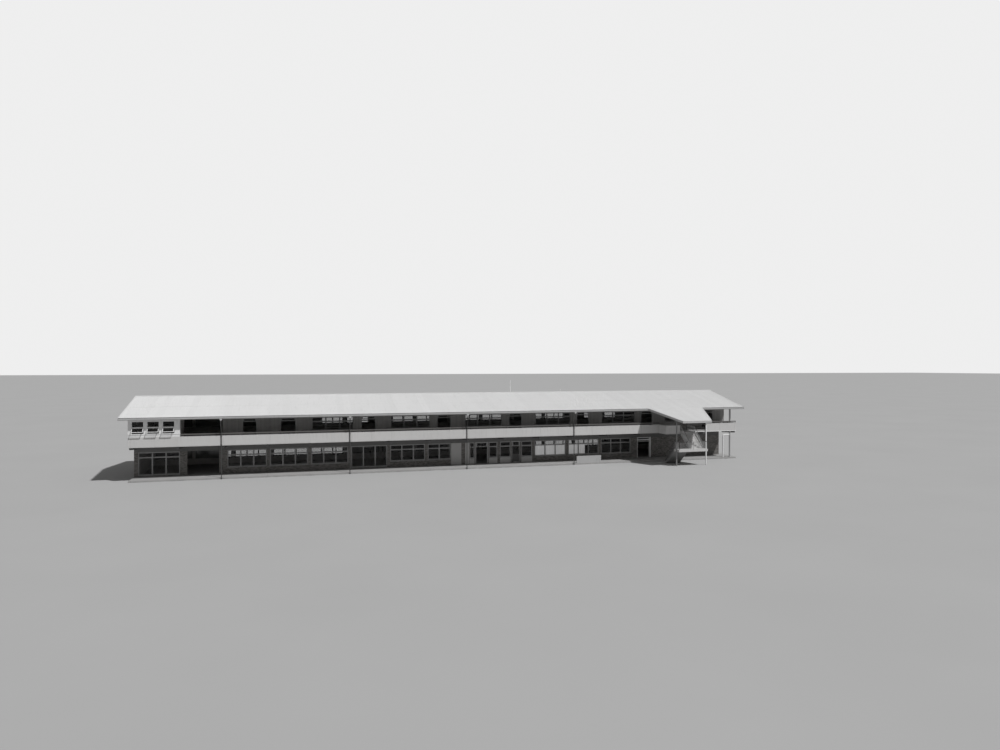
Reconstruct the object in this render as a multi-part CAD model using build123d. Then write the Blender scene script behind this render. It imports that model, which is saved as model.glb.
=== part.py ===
from build123d import *
import os

os.makedirs("parts", exist_ok=True)

# Two-storey school building of the gallery-access kind, as a 1:2 scale model, in millimetres.
# X runs along the building, Y from the front to the rear, Z up from the ground.
# The long fronts have open verandas on both storeys; a roofed dog-leg stair stands before one bay.

# Plan of the main block
bay = 2286.0
bay_count = 16
end_margin = 110.0
room_half_depth = 2600.0
veranda_depth = 1550.0
wall_t = 120.0
end_wall_t = 120.0
ground_end_inset = 398.0
pier_w = 175.0

# Heights of the main block
ground_slab_t = 100.0
ground_head_above_floor = 1345.0
ground_transom_above_floor = 1050.0
ground_sill_above_floor = 360.0
tall_sill_above_floor = 70.0
upper_floor_rise = 1875.0
upper_slab_t = 125.0
upper_room_h = 1365.0
upper_sill_above_floor = 450.0
upper_transom_above_floor = 980.0
upper_head_above_floor = 1250.0
door_head_above_floor = 1050.0

# Windows and door frames
frame_member = 30.0
frame_depth = 60.0
frame_setback = 20.0
glass_t = 6.0
glass_edge = 10.0
jamb_w = 40.0

# Hinged door of the ground floor
leaf_t = 26.0
leaf_stile = 50.0
leaf_mid_rail_h = 70.0
leaf_mid_rail_above_floor = 470.0
leaf_panel_recess = 6.0
hinge_gap = 6.0
latch_gap = 8.0
sill_gap = 6.0
knuckle_r = 7.0
knuckle_h = 60.0
knuckle_inset = 140.0
knuckle_gap = 0.3
handle_len = 70.0
handle_w = 12.0
handle_standoff = 22.0

# Verandas
band_h = 550.0
band_t = 50.0
rail_h = 45.0
rail_w = 40.0
rail_top_above_band = 140.0
stub_w = 20.0
beam_w = 125.0
beam_depth_root = 210.0
beam_depth_tip = 110.0

# Corner room over the left end of the front veranda
corner_room_len = 2532.0
corner_post_left = 150.0
corner_post_right = 250.0
corner_mullion = 125.0
corner_windows = 3
corner_sill_above_band = 165.0
corner_transom_above_sill = 365.0
corner_head_below_ceiling = 65.0
corner_wall_t = 100.0
sash_t = 24.0
sash_member = 26.0
sash_gap = 3.0
sash_angle = 45.0

# Roof
eave_overhang = 350.0
verge_overhang = 415.0
roof_slope = 0.2194
roof_t = 24.0
ceiling_t = 30.0
eave_top_above_ceiling = 150.0
gutter_w = 130.0
gutter_wall = 12.0
gutter_lip_gap = 8.0
gable_t = 60.0
ridge_cap_w = 150.0
ridge_cap_t = 10.0
barge_t = 24.0
barge_depth = 120.0

# Stair before the front, centred on a bay line
stair_bay = 14
stair_half_w = 1000.0
bridge_len = 1030.0
goings = 9
going = 120.0
risers_upper = 10
risers_lower = 11
half_landing_len = 700.0
landing_t = 150.0
waist = 90.0
flight_gap = 60.0
stair_post_w = 60.0
stair_post_from_front = 290.0
stair_roof_reach = 2900.0
stair_roof_half_w_back = 1950.0
stair_roof_half_w_front = 1000.0
stair_fascia_t = 24.0
stair_fascia_h = 120.0
tube_r = 11.0
tube_sides = 6
upright_r = 9.0
lower_bar_r = 7.0
stair_rail_h = 450.0
rail_inset = 22.0
open_rail_end_bay = 15.05
open_rail_posts = 4
open_rail_rows = 3
guard_h = 550.0

# Rain goods, pipes and columns
pipe_r = 25.0
pipe_sides = 8
pipe_clip = 8.0
pipe_clip_h = 30.0
pipe_offset = 78.0
pipe_kick_top = 420.0
pipe_kick_h = 330.0
head_w = 130.0
head_h = 100.0
head_neck = 64.0
downpipe_bays = [2, 5, 8, 11]
column_r = 60.0
column_from_end = 400.0
vent_r = 22.0
waste_from_column = 525.0
waste_h = 1500.0
waste_r = 45.0
tall_vent_x = 3775.0
tall_vent_above_ridge = 800.0
short_vent_x = 7300.0
short_vent_above_ridge = 175.0
vent_behind_ridge = 180.0

# Low wall in the line of the front band
low_wall_bays = (11.05, 11.77)
low_wall_h = 440.0
low_wall_t = 60.0

# Openings of the long walls: from bay, to bay, kind. A whole number is a bay line with its pier.
three, two, one = "three lights", "two lights", "one light"
tall, tall_barred = "tall lights", "tall lights with a bar"
gap, doorway, door = "open", "doorway", "door"
lights_in = {three: 3, two: 2, one: 1, tall: 3, tall_barred: 3, doorway: 1, door: 1}
ground_front = (
    [(0, 1, tall_barred), (1.12, 1.85, gap)] + [(k, k + 1, three) for k in (2, 3, 4)]
    + [(5, 6, tall), (6, 7, three)]
    + [(7, 7.66, two), (8.18, 8.32, one), (8.35, 8.69, doorway), (8.72, 9, one)]
    + [(9, 9.34, one), (9.37, 9.62, door), (9.65, 10, one)]
    + [(k, k + 1, three) for k in (10, 11, 12)] + [(13.18, 13.57, doorway)]
)
ground_rear = (
    [(k, k + 1, three) for k in range(8)]
    + [(8.35, 8.69, doorway), (8.72, 9, one)] + [(k, k + 1, three) for k in range(9, 15)]
    + [(15, 15.75, two)]
)
upper_front = [(2.39, 2.73, doorway), (3.29, 3.67, doorway)]
for module in (4, 6, 8, 10, 12, 14):
    upper_front += [(module + 0.05, module + 1.1, three), (module + 1.29, module + 1.67, doorway)]
upper_rear = [(k, k + 1, three) for k in range(16)]
upper_front_wall_from_bay = 1.93

# Lines that follow from the sizes above
half_len = bay_count * bay / 2 + end_margin
left, right = -half_len, half_len
ground_right = right - ground_end_inset
band_y = room_half_depth + veranda_depth
slab_y = band_y - band_t
floor_0 = ground_slab_t
floor_1 = floor_0 + upper_floor_rise
slab_1_low = floor_1 - upper_slab_t
ground_head = floor_0 + ground_head_above_floor
upper_head = floor_1 + upper_head_above_floor
ceiling_low = floor_1 + upper_room_h
ceiling_top = ceiling_low + ceiling_t
band_top = slab_1_low + band_h
rail_top = band_top + rail_top_above_band
eave_y = band_y + eave_overhang
eave_top = ceiling_low + eave_top_above_ceiling
ridge_top = eave_top + eave_y * roof_slope
roof_left, roof_right = left - verge_overhang, right + verge_overhang
stair_x = (stair_bay - bay_count / 2) * bay
stair_left, stair_right = stair_x - stair_half_w, stair_x + stair_half_w
bridge_y = -slab_y - bridge_len
flight_y = bridge_y - goings * going
landing_y = flight_y - half_landing_len
half_floor = floor_0 + upper_floor_rise / 2
corner_right = left + corner_room_len
stair_eave_y = eave_y + stair_roof_reach
stair_post_y = -landing_y - stair_post_from_front


def bay_x(k):
    """Place of a bay line, counted from the left."""
    return (k - bay_count / 2) * bay


def jamb_x(k, side):
    """Edge of an opening: on a bay line it stands back by half a pier."""
    return bay_x(k) + (side * pier_w / 2 if k == int(k) else 0)


def block(x0, x1, y0, y1, z0, z1):
    """Box between two corners."""
    return Pos((x0 + x1) / 2, (y0 + y1) / 2, (z0 + z1) / 2) * Box(x1 - x0, y1 - y0, z1 - z0)


def along_x(points, x0, x1):
    """Outline in Y and Z carried along X."""
    face = Face(Wire.make_polygon([Vector(x0, y, z) for y, z in points], close=True))
    return Solid.extrude(face, Vector(x1 - x0, 0, 0))


def along_z(points, z0, z1):
    """Outline in X and Y carried upwards."""
    face = Face(Wire.make_polygon([Vector(x, y, z0) for x, y in points], close=True))
    return Solid.extrude(face, Vector(0, 0, z1 - z0))


def tube(points, radius, sides):
    """Bar of a few sides along straight runs with mitred corners."""
    path = Polyline(*points) if len(points) > 2 else Line(*points)
    start = Plane(origin=path @ 0, z_dir=path % 0)
    return sweep(start * RegularPolygon(radius, sides), path=path, transition=Transition.RIGHT)


def under_roof(x0, x1, y0, y1, top_at):
    """Region under the underside of the roof plane, for cutting posts to the slope."""
    z0, z1 = top_at(y0), top_at(y1)
    return along_x([(y0, floor_0 - ground_slab_t), (y1, floor_0 - ground_slab_t), (y1, z1), (y0, z0)], x0, x1)


def roof_top_at(y):
    """Height of the upper face of the roof over a line Y."""
    return eave_top + (eave_y - abs(y)) * roof_slope


def roof_low_at(y):
    """Height of the underside of the roof over a line Y."""
    return roof_top_at(y) - roof_t


def save(node, *solids):
    """Write one node; its solids stay apart."""
    parts = [s for item in solids for s in (item.solids() if hasattr(item, "solids") else item)]
    export_step(Compound(children=parts) if len(parts) > 1 else parts[0], "parts/" + node + ".step")
    print(node, len(parts))


def window_frame(x0, x1, z0, z1, y0, y1, lights, transom=None, member=frame_member):
    """Rectangular frame with mullions and one transom."""
    frame = block(x0, x1, y0, y1, z0, z1)
    clear = (x1 - x0 - (lights + 1) * member) / lights
    rows = [(z0 + member, z1 - member)]
    if transom:
        rows = [(z0 + member, transom - member / 2), (transom + member / 2, z1 - member)]
    for i in range(lights):
        a = x0 + member + i * (clear + member)
        for low, high in rows:
            frame -= block(a, a + clear, y0, y1, low, high)
    return frame


def long_wall(openings, side, floor, head, sill, transom, first, last):
    """Piers, sill walls, window frames, panes and door jambs of one long wall from first to last in X."""
    outer = side * room_half_depth
    inner = side * (room_half_depth - wall_t)
    y0, y1 = min(outer, inner), max(outer, inner)
    f_out, f_in = outer - side * frame_setback, outer - side * (frame_setback + frame_depth)
    g_in = f_in - side * glass_t
    fy0, fy1 = min(f_out, f_in), max(f_out, f_in)
    gy0, gy1 = min(f_in, g_in), max(f_in, g_in)
    piers, sills, frames, panes, jambs = [], [], [], [], []
    at = first
    door_head = floor + door_head_above_floor
    for k0, k1, kind in openings:
        x0, x1 = jamb_x(k0, 1), jamb_x(k1, -1)
        piers.append(block(at, x0, y0, y1, floor, head))
        at = x1
        if kind == gap:
            continue
        if kind in (doorway, door):
            for a in (x0, x1 - jamb_w):
                jambs.append(block(a, a + jamb_w, fy0, fy1, floor, head))
            a, b, low, bar = x0 + jamb_w, x1 - jamb_w, door_head, None
        else:
            low = floor + tall_sill_above_floor if kind in (tall, tall_barred) else sill
            a, b, bar = x0, x1, None if kind == tall else transom
            sills.append(block(x0, x1, y0, y1, floor, low))
        frames.append(window_frame(a, b, low, head, fy0, fy1, lights_in[kind], bar))
        panes.append(block(a + glass_edge, b - glass_edge, gy0, gy1, low + glass_edge, head - glass_edge))
    piers.append(block(at, last, y0, y1, floor, head))
    return piers, sills, frames, panes, jambs


def ground_storey():
    """Ground slab, walls and windows."""
    save("ground_slab", block(left, right, -band_y, band_y, 0, floor_0))
    sill, transom = floor_0 + ground_sill_above_floor, floor_0 + ground_transom_above_floor
    front = long_wall(ground_front, -1, floor_0, ground_head, sill, transom, left, ground_right)
    rear = long_wall(ground_rear, 1, floor_0, ground_head, sill, transom, left, ground_right)
    names = ("ground_piers", "ground_sill_walls", "ground_window_frames", "ground_glass", "ground_door_jambs")
    for name, f, r in zip(names, front, rear):
        save(name, f, r)
    inner = room_half_depth - wall_t
    save("ground_ring_beams", block(left, ground_right, -room_half_depth, -inner, ground_head, slab_1_low),
         block(left, ground_right, inner, room_half_depth, ground_head, slab_1_low))
    save("ground_end_walls", block(left, left + end_wall_t, -inner, inner, floor_0, slab_1_low),
         block(ground_right - end_wall_t, ground_right, -inner, inner, floor_0, slab_1_low))
    x0, x1 = bay_x(low_wall_bays[0]), bay_x(low_wall_bays[1])
    save("low_front_wall", block(x0, x1, -band_y, -band_y + low_wall_t, floor_0, floor_0 + low_wall_h))


def hinged_door():
    """Leaf with a glazed upper part and a panelled lower part, hung on knuckles before the left jamb."""
    k0, k1 = [(a, b) for a, b, kind in ground_front if kind == door][0]
    x0 = bay_x(k0) + jamb_w + hinge_gap
    x1 = bay_x(k1) - jamb_w - latch_gap
    z0, z1 = floor_0 + sill_gap, floor_0 + door_head_above_floor - sill_gap
    y0 = -room_half_depth + frame_setback
    y1 = y0 + leaf_t
    mid = floor_0 + leaf_mid_rail_above_floor
    leaf = block(x0, x1, y0, y1, z0, z1)
    leaf -= block(x0 + leaf_stile, x1 - leaf_stile, y0, y1, mid + leaf_mid_rail_h, z1 - leaf_stile)
    leaf -= block(x0 + leaf_stile, x1 - leaf_stile, y0, y0 + leaf_panel_recess, z0 + leaf_stile, mid)
    axis_x, axis_y = x0 - hinge_gap / 2, y0 - knuckle_r
    for z in (z0 + knuckle_inset, z1 - knuckle_inset):
        leaf += tube([(axis_x, axis_y, z - knuckle_h / 2), (axis_x, axis_y, z + knuckle_h / 2)],
                     knuckle_r, pipe_sides)
        leaf += block(axis_x, x0 + knuckle_r, axis_y, y0, z - knuckle_h / 2, z + knuckle_h / 2)
    hz = mid + leaf_mid_rail_h / 2
    hx = x1 - leaf_stile / 2
    grip_y, z_low, z_high = y0 - handle_standoff, hz - handle_w / 2, hz + handle_w / 2
    leaf += block(hx - handle_w / 2, hx + handle_w / 2, grip_y, y0, z_low, z_high)
    leaf += block(hx - handle_len, hx + handle_w / 2, grip_y - handle_w, grip_y, z_low, z_high)
    save("ground_door", leaf)
    fixed = []
    for z in (z0 + knuckle_inset, z1 - knuckle_inset):
        for side in (-1, 1):
            zc = z + side * (knuckle_h * 3 / 4 + knuckle_gap)
            plate = tube([(axis_x, axis_y, zc - knuckle_h / 4), (axis_x, axis_y, zc + knuckle_h / 4)],
                         knuckle_r, pipe_sides)
            plate += block(axis_x - jamb_w / 2, axis_x, axis_y, y0, zc - knuckle_h / 4, zc + knuckle_h / 4)
            fixed.append(plate)
    save("ground_door_hinges", fixed)
    pane = block(x0 + leaf_stile, x1 - leaf_stile, (y0 + y1 - glass_t) / 2, (y0 + y1 + glass_t) / 2,
                 mid + leaf_mid_rail_h, z1 - leaf_stile)
    save("ground_door_glass", pane)


def upper_storey():
    """Upper slab on its cantilever beams, walls and windows."""
    save("upper_slab", block(left, right, -slab_y, slab_y, slab_1_low, floor_1))
    beams = []
    for k in range(bay_count + 1):
        for side in (-1, 1):
            outline = [(side * room_half_depth, slab_1_low), (side * slab_y, slab_1_low),
                       (side * slab_y, slab_1_low - beam_depth_tip),
                       (side * room_half_depth, slab_1_low - beam_depth_root)]
            beams.append(along_x(outline, bay_x(k) - beam_w / 2, bay_x(k) + beam_w / 2))
    save("cantilever_beams", beams)
    sill, transom = floor_1 + upper_sill_above_floor, floor_1 + upper_transom_above_floor
    wall_from = bay_x(upper_front_wall_from_bay)
    front = long_wall(upper_front, -1, floor_1, upper_head, sill, transom, wall_from, right)
    rear = long_wall(upper_rear, 1, floor_1, upper_head, sill, transom, left, right)
    names = ("upper_piers", "upper_sill_walls", "upper_window_frames", "upper_glass", "upper_door_jambs")
    for name, f, r in zip(names, front, rear):
        save(name, f, r)
    inner = room_half_depth - wall_t
    save("upper_ring_beams", block(left, right, -room_half_depth, -inner, upper_head, ceiling_low),
         block(left, right, inner, room_half_depth, upper_head, ceiling_low))
    save("upper_end_walls", block(left, left + end_wall_t, -inner, inner, floor_1, ceiling_low),
         block(right - end_wall_t, right, -inner, inner, floor_1, ceiling_low))


def corner_room():
    """Room flush with the band over the left end of the front veranda, with awning sashes standing open."""
    y0, y1 = -band_y, -band_y + corner_wall_t
    sill = band_top + corner_sill_above_band
    head = ceiling_low - corner_head_below_ceiling
    transom = sill + corner_transom_above_sill
    side = block(corner_right - corner_wall_t, corner_right, y1, -room_half_depth, floor_1, upper_head)
    end = block(left, left + corner_wall_t, y1, -room_half_depth, floor_1, upper_head)
    posts = [block(left, left + corner_post_left, y0, y1, sill, head),
             block(corner_right - corner_post_right, corner_right, y0, y1, sill, head)]
    window_w = (corner_room_len - corner_post_left - corner_post_right
                - (corner_windows - 1) * corner_mullion) / corner_windows
    frames, sashes, panes = [], [], []
    for i in range(corner_windows):
        x0 = left + corner_post_left + i * (window_w + corner_mullion)
        x1 = x0 + window_w
        if i:
            posts.append(block(x0 - corner_mullion, x0, y0, y1, sill, head))
        frames.append(window_frame(x0, x1, sill, head, y0, y0 + frame_depth, 1, transom))
        panes.append(block(x0 + glass_edge, x1 - glass_edge, y0 + frame_depth, y0 + frame_depth + glass_t,
                           transom, head - glass_edge))
        a, b = x0 + frame_member + sash_gap, x1 - frame_member - sash_gap
        top, low = transom - frame_member / 2, sill + frame_member + sash_gap
        sash = window_frame(a, b, low, top, y0, y0 + sash_t, 1, None, sash_member)
        pane_y = y0 + (sash_t - glass_t) / 2
        pane = block(a + sash_member, b - sash_member, pane_y, pane_y + glass_t,
                     low + sash_member, top - sash_member)
        swing = Axis((a, y0, top), (1, 0, 0))
        sashes.append(sash.rotate(swing, -sash_angle))
        panes.append(pane.rotate(swing, -sash_angle))
    save("corner_room_posts", posts)
    save("corner_room_side_walls", side, end)
    save("corner_room_beams", block(left, corner_right, y0, y1, band_top, sill),
         block(left, corner_right, y0, y1, head, ceiling_low))
    save("corner_room_frames", frames)
    save("corner_room_sashes", sashes)
    save("corner_room_glass", panes)


def verandas():
    """Solid bands, handrails on stubs above them, and the open railing beside the stair."""
    z0, z1 = slab_1_low, band_top
    open_end = bay_x(open_rail_end_bay)
    save("balustrade_front", block(left, stair_left, -band_y, -slab_y, z0, z1),
         block(open_end, right, -band_y, -slab_y, z0, z1))
    save("balustrade_rear", block(left, right, slab_y, band_y, z0, z1))
    ends = []
    for x0, x1, front_y in ((left, left + band_t, None), (right - band_t, right, -slab_y)):
        ends.append(block(x0, x1, room_half_depth, slab_y, floor_1, z1))
        if front_y:
            ends.append(block(x0, x1, front_y, -room_half_depth, floor_1, z1))
    save("balustrade_ends", ends)
    y = band_y - band_t / 2

    def rail(x0, x1, yc, step):
        """Rail on short stubs at even spacing, one at each end."""
        foot = rail_top - rail_h
        bar = block(x0, x1, yc - rail_w / 2, yc + rail_w / 2, foot, rail_top)
        count = max(2, int((x1 - x0) / step) + 1)
        for i in range(count):
            x = x0 + stub_w / 2 + (x1 - x0 - stub_w) * i / (count - 1)
            bar += block(x - stub_w / 2, x + stub_w / 2, yc - stub_w / 2, yc + stub_w / 2, z1, foot)
        return bar

    save("handrail_front", rail(corner_right, stair_left, -y, bay / 2), rail(open_end, right, -y, bay / 2))
    save("handrail_rear", rail(left, right, y, bay / 2))
    y = slab_y - 2 * tube_r
    x0, x1, top = stair_right + tube_r, open_end - tube_r, rail_top - tube_r
    tubes = tube([(x0, -y, top), (x1, -y, top)], tube_r, tube_sides)
    for i in range(open_rail_posts):
        x = x0 + tube_r + (x1 - x0 - 2 * tube_r) * i / (open_rail_posts - 1)
        tubes += tube([(x, -y, floor_1), (x, -y, top)], upright_r, tube_sides)
    for i in range(1, open_rail_rows):
        z = floor_1 + (top - floor_1) * i / open_rail_rows
        tubes += tube([(x0, -y, z), (x1, -y, z)], lower_bar_r, tube_sides)
    save("open_railing", tubes)


def roof():
    """Ceiling, two slopes, the stair roof in line with the front slope, gables, capping and gutters."""
    gutter_in = eave_y - gutter_w
    save("ceiling", block(left, right, -gutter_in, gutter_in, ceiling_low, ceiling_top))
    for name, side in (("roof_front", -1), ("roof_rear", 1)):
        outline = [(side * eave_y, eave_top - roof_t), (side * eave_y, eave_top),
                   (0, ridge_top), (0, ridge_top - roof_t)]
        save(name, along_x(outline, roof_left, roof_right))
    outline = [(-gutter_in, ceiling_top), (gutter_in, ceiling_top), (gutter_in, roof_low_at(gutter_in)),
               (0, roof_low_at(0)), (-gutter_in, roof_low_at(gutter_in))]
    save("gable_infills", along_x(outline, left, left + gable_t), along_x(outline, right - gable_t, right))
    drop = ridge_cap_w * roof_slope
    outline = [(-ridge_cap_w, ridge_top - drop), (0, ridge_top), (ridge_cap_w, ridge_top - drop),
               (ridge_cap_w, ridge_top - drop + ridge_cap_t), (0, ridge_top + ridge_cap_t),
               (-ridge_cap_w, ridge_top - drop + ridge_cap_t)]
    save("ridge_capping", along_x(outline, roof_left, roof_right))
    boards = []
    for x0 in (roof_left, roof_right - barge_t):
        for side in (-1, 1):
            top, foot = roof_low_at(0), roof_low_at(gutter_in)
            outline = [(side * gutter_in, foot), (0, top), (0, top - barge_depth),
                       (side * gutter_in, foot - barge_depth)]
            boards.append(along_x(outline, x0, x0 + barge_t))
    save("barge_boards", boards[0].fuse(boards[1]), boards[2].fuse(boards[3]))

    def gutter(side, x0, x1):
        lip = eave_top - roof_t - gutter_lip_gap
        trough_y, bottom = gutter_in + gutter_wall, ceiling_low + gutter_wall
        lip_y = eave_y - gutter_wall
        outline = [(eave_y, ceiling_low), (eave_y, lip), (lip_y, lip), (lip_y, bottom),
                   (trough_y, bottom), (trough_y, roof_low_at(trough_y)),
                   (gutter_in, roof_low_at(gutter_in)), (gutter_in, ceiling_low)]
        return along_x([(side * y, z) for y, z in outline], x0, x1)

    save("gutters", gutter(-1, roof_left, stair_x - stair_roof_half_w_back),
         gutter(-1, stair_x + stair_roof_half_w_back, roof_right), gutter(1, roof_left, roof_right))


def stair_roof():
    """Sheet that carries the front slope on over the stair, with its fascia."""
    def slab_between(points, low_at, high_at):
        y0, y1 = min(y for x, y in points), max(y for x, y in points)
        body = along_z(points, low_at(y0) - roof_t, high_at(y1) + roof_t)
        keep = along_x([(y0, low_at(y0)), (y1, low_at(y1)), (y1, high_at(y1)), (y0, high_at(y0))],
                       stair_x - stair_roof_half_w_back, stair_x + stair_roof_half_w_back)
        return body & keep

    back, front = stair_roof_half_w_back, stair_roof_half_w_front
    corners = [(stair_x - back, -eave_y), (stair_x - front, -stair_eave_y),
               (stair_x + front, -stair_eave_y), (stair_x + back, -eave_y)]
    save("stair_roof", slab_between(corners, roof_low_at, roof_top_at))
    t = stair_fascia_t
    inner = [(stair_x - back + t, -eave_y), (stair_x - front + t, -stair_eave_y + t),
             (stair_x + front - t, -stair_eave_y + t), (stair_x + back - t, -eave_y)]
    fascia = slab_between(corners, lambda y: roof_low_at(y) - stair_fascia_h, roof_low_at)
    fascia -= along_z(inner, 0, ridge_top)
    save("stair_roof_fascia", fascia)


def flight(x0, x1, y_low, y_high, z_low, z_high, risers, on_ground):
    """Stepped slab from y_low up to y_high; its soffit follows the pitch to the ground or to the end face."""
    run, rise = (y_high - y_low) / (risers - 1), (z_high - z_low) / risers
    points = []
    for i in range(risers - 1):
        tread = z_low + (i + 1) * rise
        points += [(y_low + i * run, tread), (y_low + (i + 1) * run, tread)]
    soffit_top = z_high - rise - waist
    points.append((y_high, soffit_top))
    if on_ground:
        points += [(y_high - (soffit_top - z_low) * run / rise, z_low), (y_low, z_low)]
    else:
        points.append((y_low, soffit_top - (y_high - y_low) * rise / run))
    return along_x(points, x0, x1)


def stair():
    """Dog-leg stair: lower flight outwards on the left, half landing, upper flight back on the right."""
    x_mid0, x_mid1 = stair_x - flight_gap / 2, stair_x + flight_gap / 2
    lower_foot = flight_y + (risers_lower - 1) * going
    save("stair_lower_flight",
         flight(stair_left, x_mid0, lower_foot, flight_y, 0, half_floor, risers_lower, True))
    save("stair_upper_flight",
         flight(x_mid1, stair_right, flight_y, bridge_y, half_floor, floor_1, risers_upper, False))
    half_landing = block(stair_left, stair_right, landing_y, flight_y, half_floor - landing_t, half_floor)
    save("stair_landings", half_landing, block(stair_left, stair_right, bridge_y, -slab_y, slab_1_low, floor_1))
    posts = []
    w = stair_post_w
    for x in (stair_left - w, stair_right):
        post = block(x, x + w, -stair_post_y - w / 2, -stair_post_y + w / 2, 0, ridge_top)
        posts.append(post & under_roof(x, x + w, -stair_post_y - w, -stair_post_y + w, roof_low_at))
    save("stair_posts", posts)
    t, guard_top = band_t, slab_1_low + guard_h
    save("stair_guards", block(stair_left - t, stair_left, bridge_y, -band_y, slab_1_low, guard_top),
         block(stair_left, x_mid0, bridge_y - t, bridge_y, slab_1_low, guard_top))
    stair_handrails(lower_foot)


def stair_handrails(lower_foot):
    """One rail round the outer edge of bridge, flights and half landing, and one on each flight at the well."""
    h, low_rise = stair_rail_h, half_floor / risers_lower
    pitch_up = (floor_1 - half_floor) / (bridge_y - flight_y)
    pitch_low = (half_floor - low_rise) / (lower_foot - flight_y)
    x_out, x_in = stair_right - rail_inset, stair_left + rail_inset
    well_up, well_low = stair_x + flight_gap / 2 + rail_inset, stair_x - flight_gap / 2 - rail_inset
    y_edge = landing_y + rail_inset
    route = [(x_out, -slab_y - rail_inset, floor_1), (x_out, bridge_y, floor_1),
             (x_out, flight_y, half_floor), (x_out, y_edge, half_floor),
             (x_in, y_edge, half_floor), (x_in, flight_y, half_floor), (x_in, lower_foot, low_rise)]
    outer = tube([(x, y, z + h) for x, y, z in route], tube_r, tube_sides)

    def upright(x, y, foot, top):
        return tube([(x, y, foot), (x, y, top + h)], upright_r, tube_sides)

    def uprights_of_flight(x_up, x_low):
        """Feet stand on the middle tread and on the lowest tread of each flight."""
        made = []
        for steps in (1, risers_upper // 2):
            y = flight_y + (steps - 1 / 2) * going
            tread = half_floor + steps * (floor_1 - half_floor) / risers_upper
            made.append(upright(x_up, y, tread, half_floor + (y - flight_y) * pitch_up))
        for steps in (risers_lower // 2, risers_lower - 1):
            y = flight_y + (steps - 1 / 2) * going
            tread = (risers_lower - steps) * low_rise
            made.append(upright(x_low, y, tread, half_floor - (y - flight_y) * pitch_low))
        return made

    for bar in uprights_of_flight(x_out, x_in):
        outer += bar
    outer += upright(x_out, -slab_y - 2 * rail_inset, floor_1, floor_1)
    for x, y in ((x_out, y_edge), (stair_x, y_edge), (x_in, y_edge)):
        outer += upright(x, y, half_floor, half_floor)
    start = half_floor + h
    up_rail = tube([(well_up, flight_y, start), (well_up, bridge_y, floor_1 + h)], tube_r, tube_sides)
    low_rail = tube([(well_low, flight_y, start), (well_low, lower_foot, low_rise + h)], tube_r, tube_sides)
    bars = uprights_of_flight(well_up, well_low)
    save("stair_handrails", outer, up_rail + bars[0] + bars[1], low_rail + bars[2] + bars[3])


def rain_goods():
    """Downpipes that kick in to the band, their heads, the end columns and the pipes."""
    pipes, heads = [], []
    gutter_c = eave_y - gutter_w / 2
    wall_c = band_y + pipe_clip + pipe_r
    for k in downpipe_bays:
        for side in (-1, 1):
            x = bay_x(k) - pipe_offset
            top = ceiling_low - head_h
            kick = ceiling_low - pipe_kick_top
            pipe = tube([(x, side * gutter_c, top), (x, side * gutter_c, kick),
                         (x, side * wall_c, kick - pipe_kick_h), (x, side * wall_c, 0)], pipe_r, pipe_sides)
            for z in (band_top - pipe_clip_h * 2, slab_1_low + pipe_clip_h):
                y_face, y_pipe = side * band_y, side * wall_c
                pipe += block(x - pipe_clip_h, x + pipe_clip_h, min(y_face, y_pipe), max(y_face, y_pipe),
                              z, z + pipe_clip_h)
            pipes.append(pipe)
            upper = Plane((x, side * gutter_c, ceiling_low)) * Rectangle(head_w, gutter_w)
            lower = Plane((x, side * gutter_c, top)) * Rectangle(head_neck, head_neck)
            heads.append(loft([lower, upper], ruled=True))
    save("downpipes", pipes)
    save("rainwater_heads", heads)
    cx, cy = right - column_from_end, slab_y - column_r
    columns = []
    for side in (-1, 1):
        for z0, z1 in ((floor_0, slab_1_low), (floor_1, ceiling_low)):
            columns.append(Pos(cx, side * cy, (z0 + z1) / 2) * Cylinder(column_r, z1 - z0))
    save("end_columns", columns)
    wx = cx - waste_from_column
    arm_z = floor_0 + waste_h
    waste = tube([(wx, -cy, floor_0), (wx, -cy, arm_z), (cx, -cy, arm_z)], waste_r, pipe_sides)
    waste -= columns[0]
    save("waste_pipe", waste)
    vents = []
    for x, above in ((tall_vent_x, tall_vent_above_ridge), (short_vent_x, short_vent_above_ridge)):
        low, high = roof_top_at(vent_behind_ridge) - vent_r, ridge_top + above
        pipe = Pos(x, vent_behind_ridge, (low + high) / 2) * Cylinder(vent_r, high - low)
        y0, y1 = vent_behind_ridge - 2 * vent_r, vent_behind_ridge + 2 * vent_r
        under = [(y0, 0), (y1, 0), (y1, roof_top_at(y1)), (y0, roof_top_at(y0))]
        below = along_x(under, x - 2 * vent_r, x + 2 * vent_r)
        vents.append(pipe - below)
    save("roof_vent_pipes", vents)


ground_storey()
hinged_door()
upper_storey()
corner_room()
verandas()
roof()
stair_roof()
stair()
rain_goods()
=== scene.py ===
"""Looks of a two-storey school building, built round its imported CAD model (1:2 scale, metres).

X runs along the building, -Y is the front, Z is up. Every new piece is a surface worked out with numpy.
"""

import math

import bpy
import numpy as np
from bpy.props import FloatProperty, PointerProperty
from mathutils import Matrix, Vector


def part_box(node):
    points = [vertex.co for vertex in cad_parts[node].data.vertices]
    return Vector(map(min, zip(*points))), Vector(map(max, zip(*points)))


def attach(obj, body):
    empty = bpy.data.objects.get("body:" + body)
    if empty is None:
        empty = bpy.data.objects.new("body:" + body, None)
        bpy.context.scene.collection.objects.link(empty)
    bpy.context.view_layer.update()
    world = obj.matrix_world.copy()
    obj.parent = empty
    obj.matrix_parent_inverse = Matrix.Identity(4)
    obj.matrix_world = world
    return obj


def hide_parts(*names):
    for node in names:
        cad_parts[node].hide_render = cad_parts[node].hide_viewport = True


bl_info = {
    "name": "School building looks",
    "version": (1, 2, 0),
    "blender": (4, 5, 0),
    "location": "View3D > Sidebar > School",
    "description": "Dresses the packed school building with sheets, boards, bricks, sashes and finishes",
    "category": "Object",
}

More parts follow.
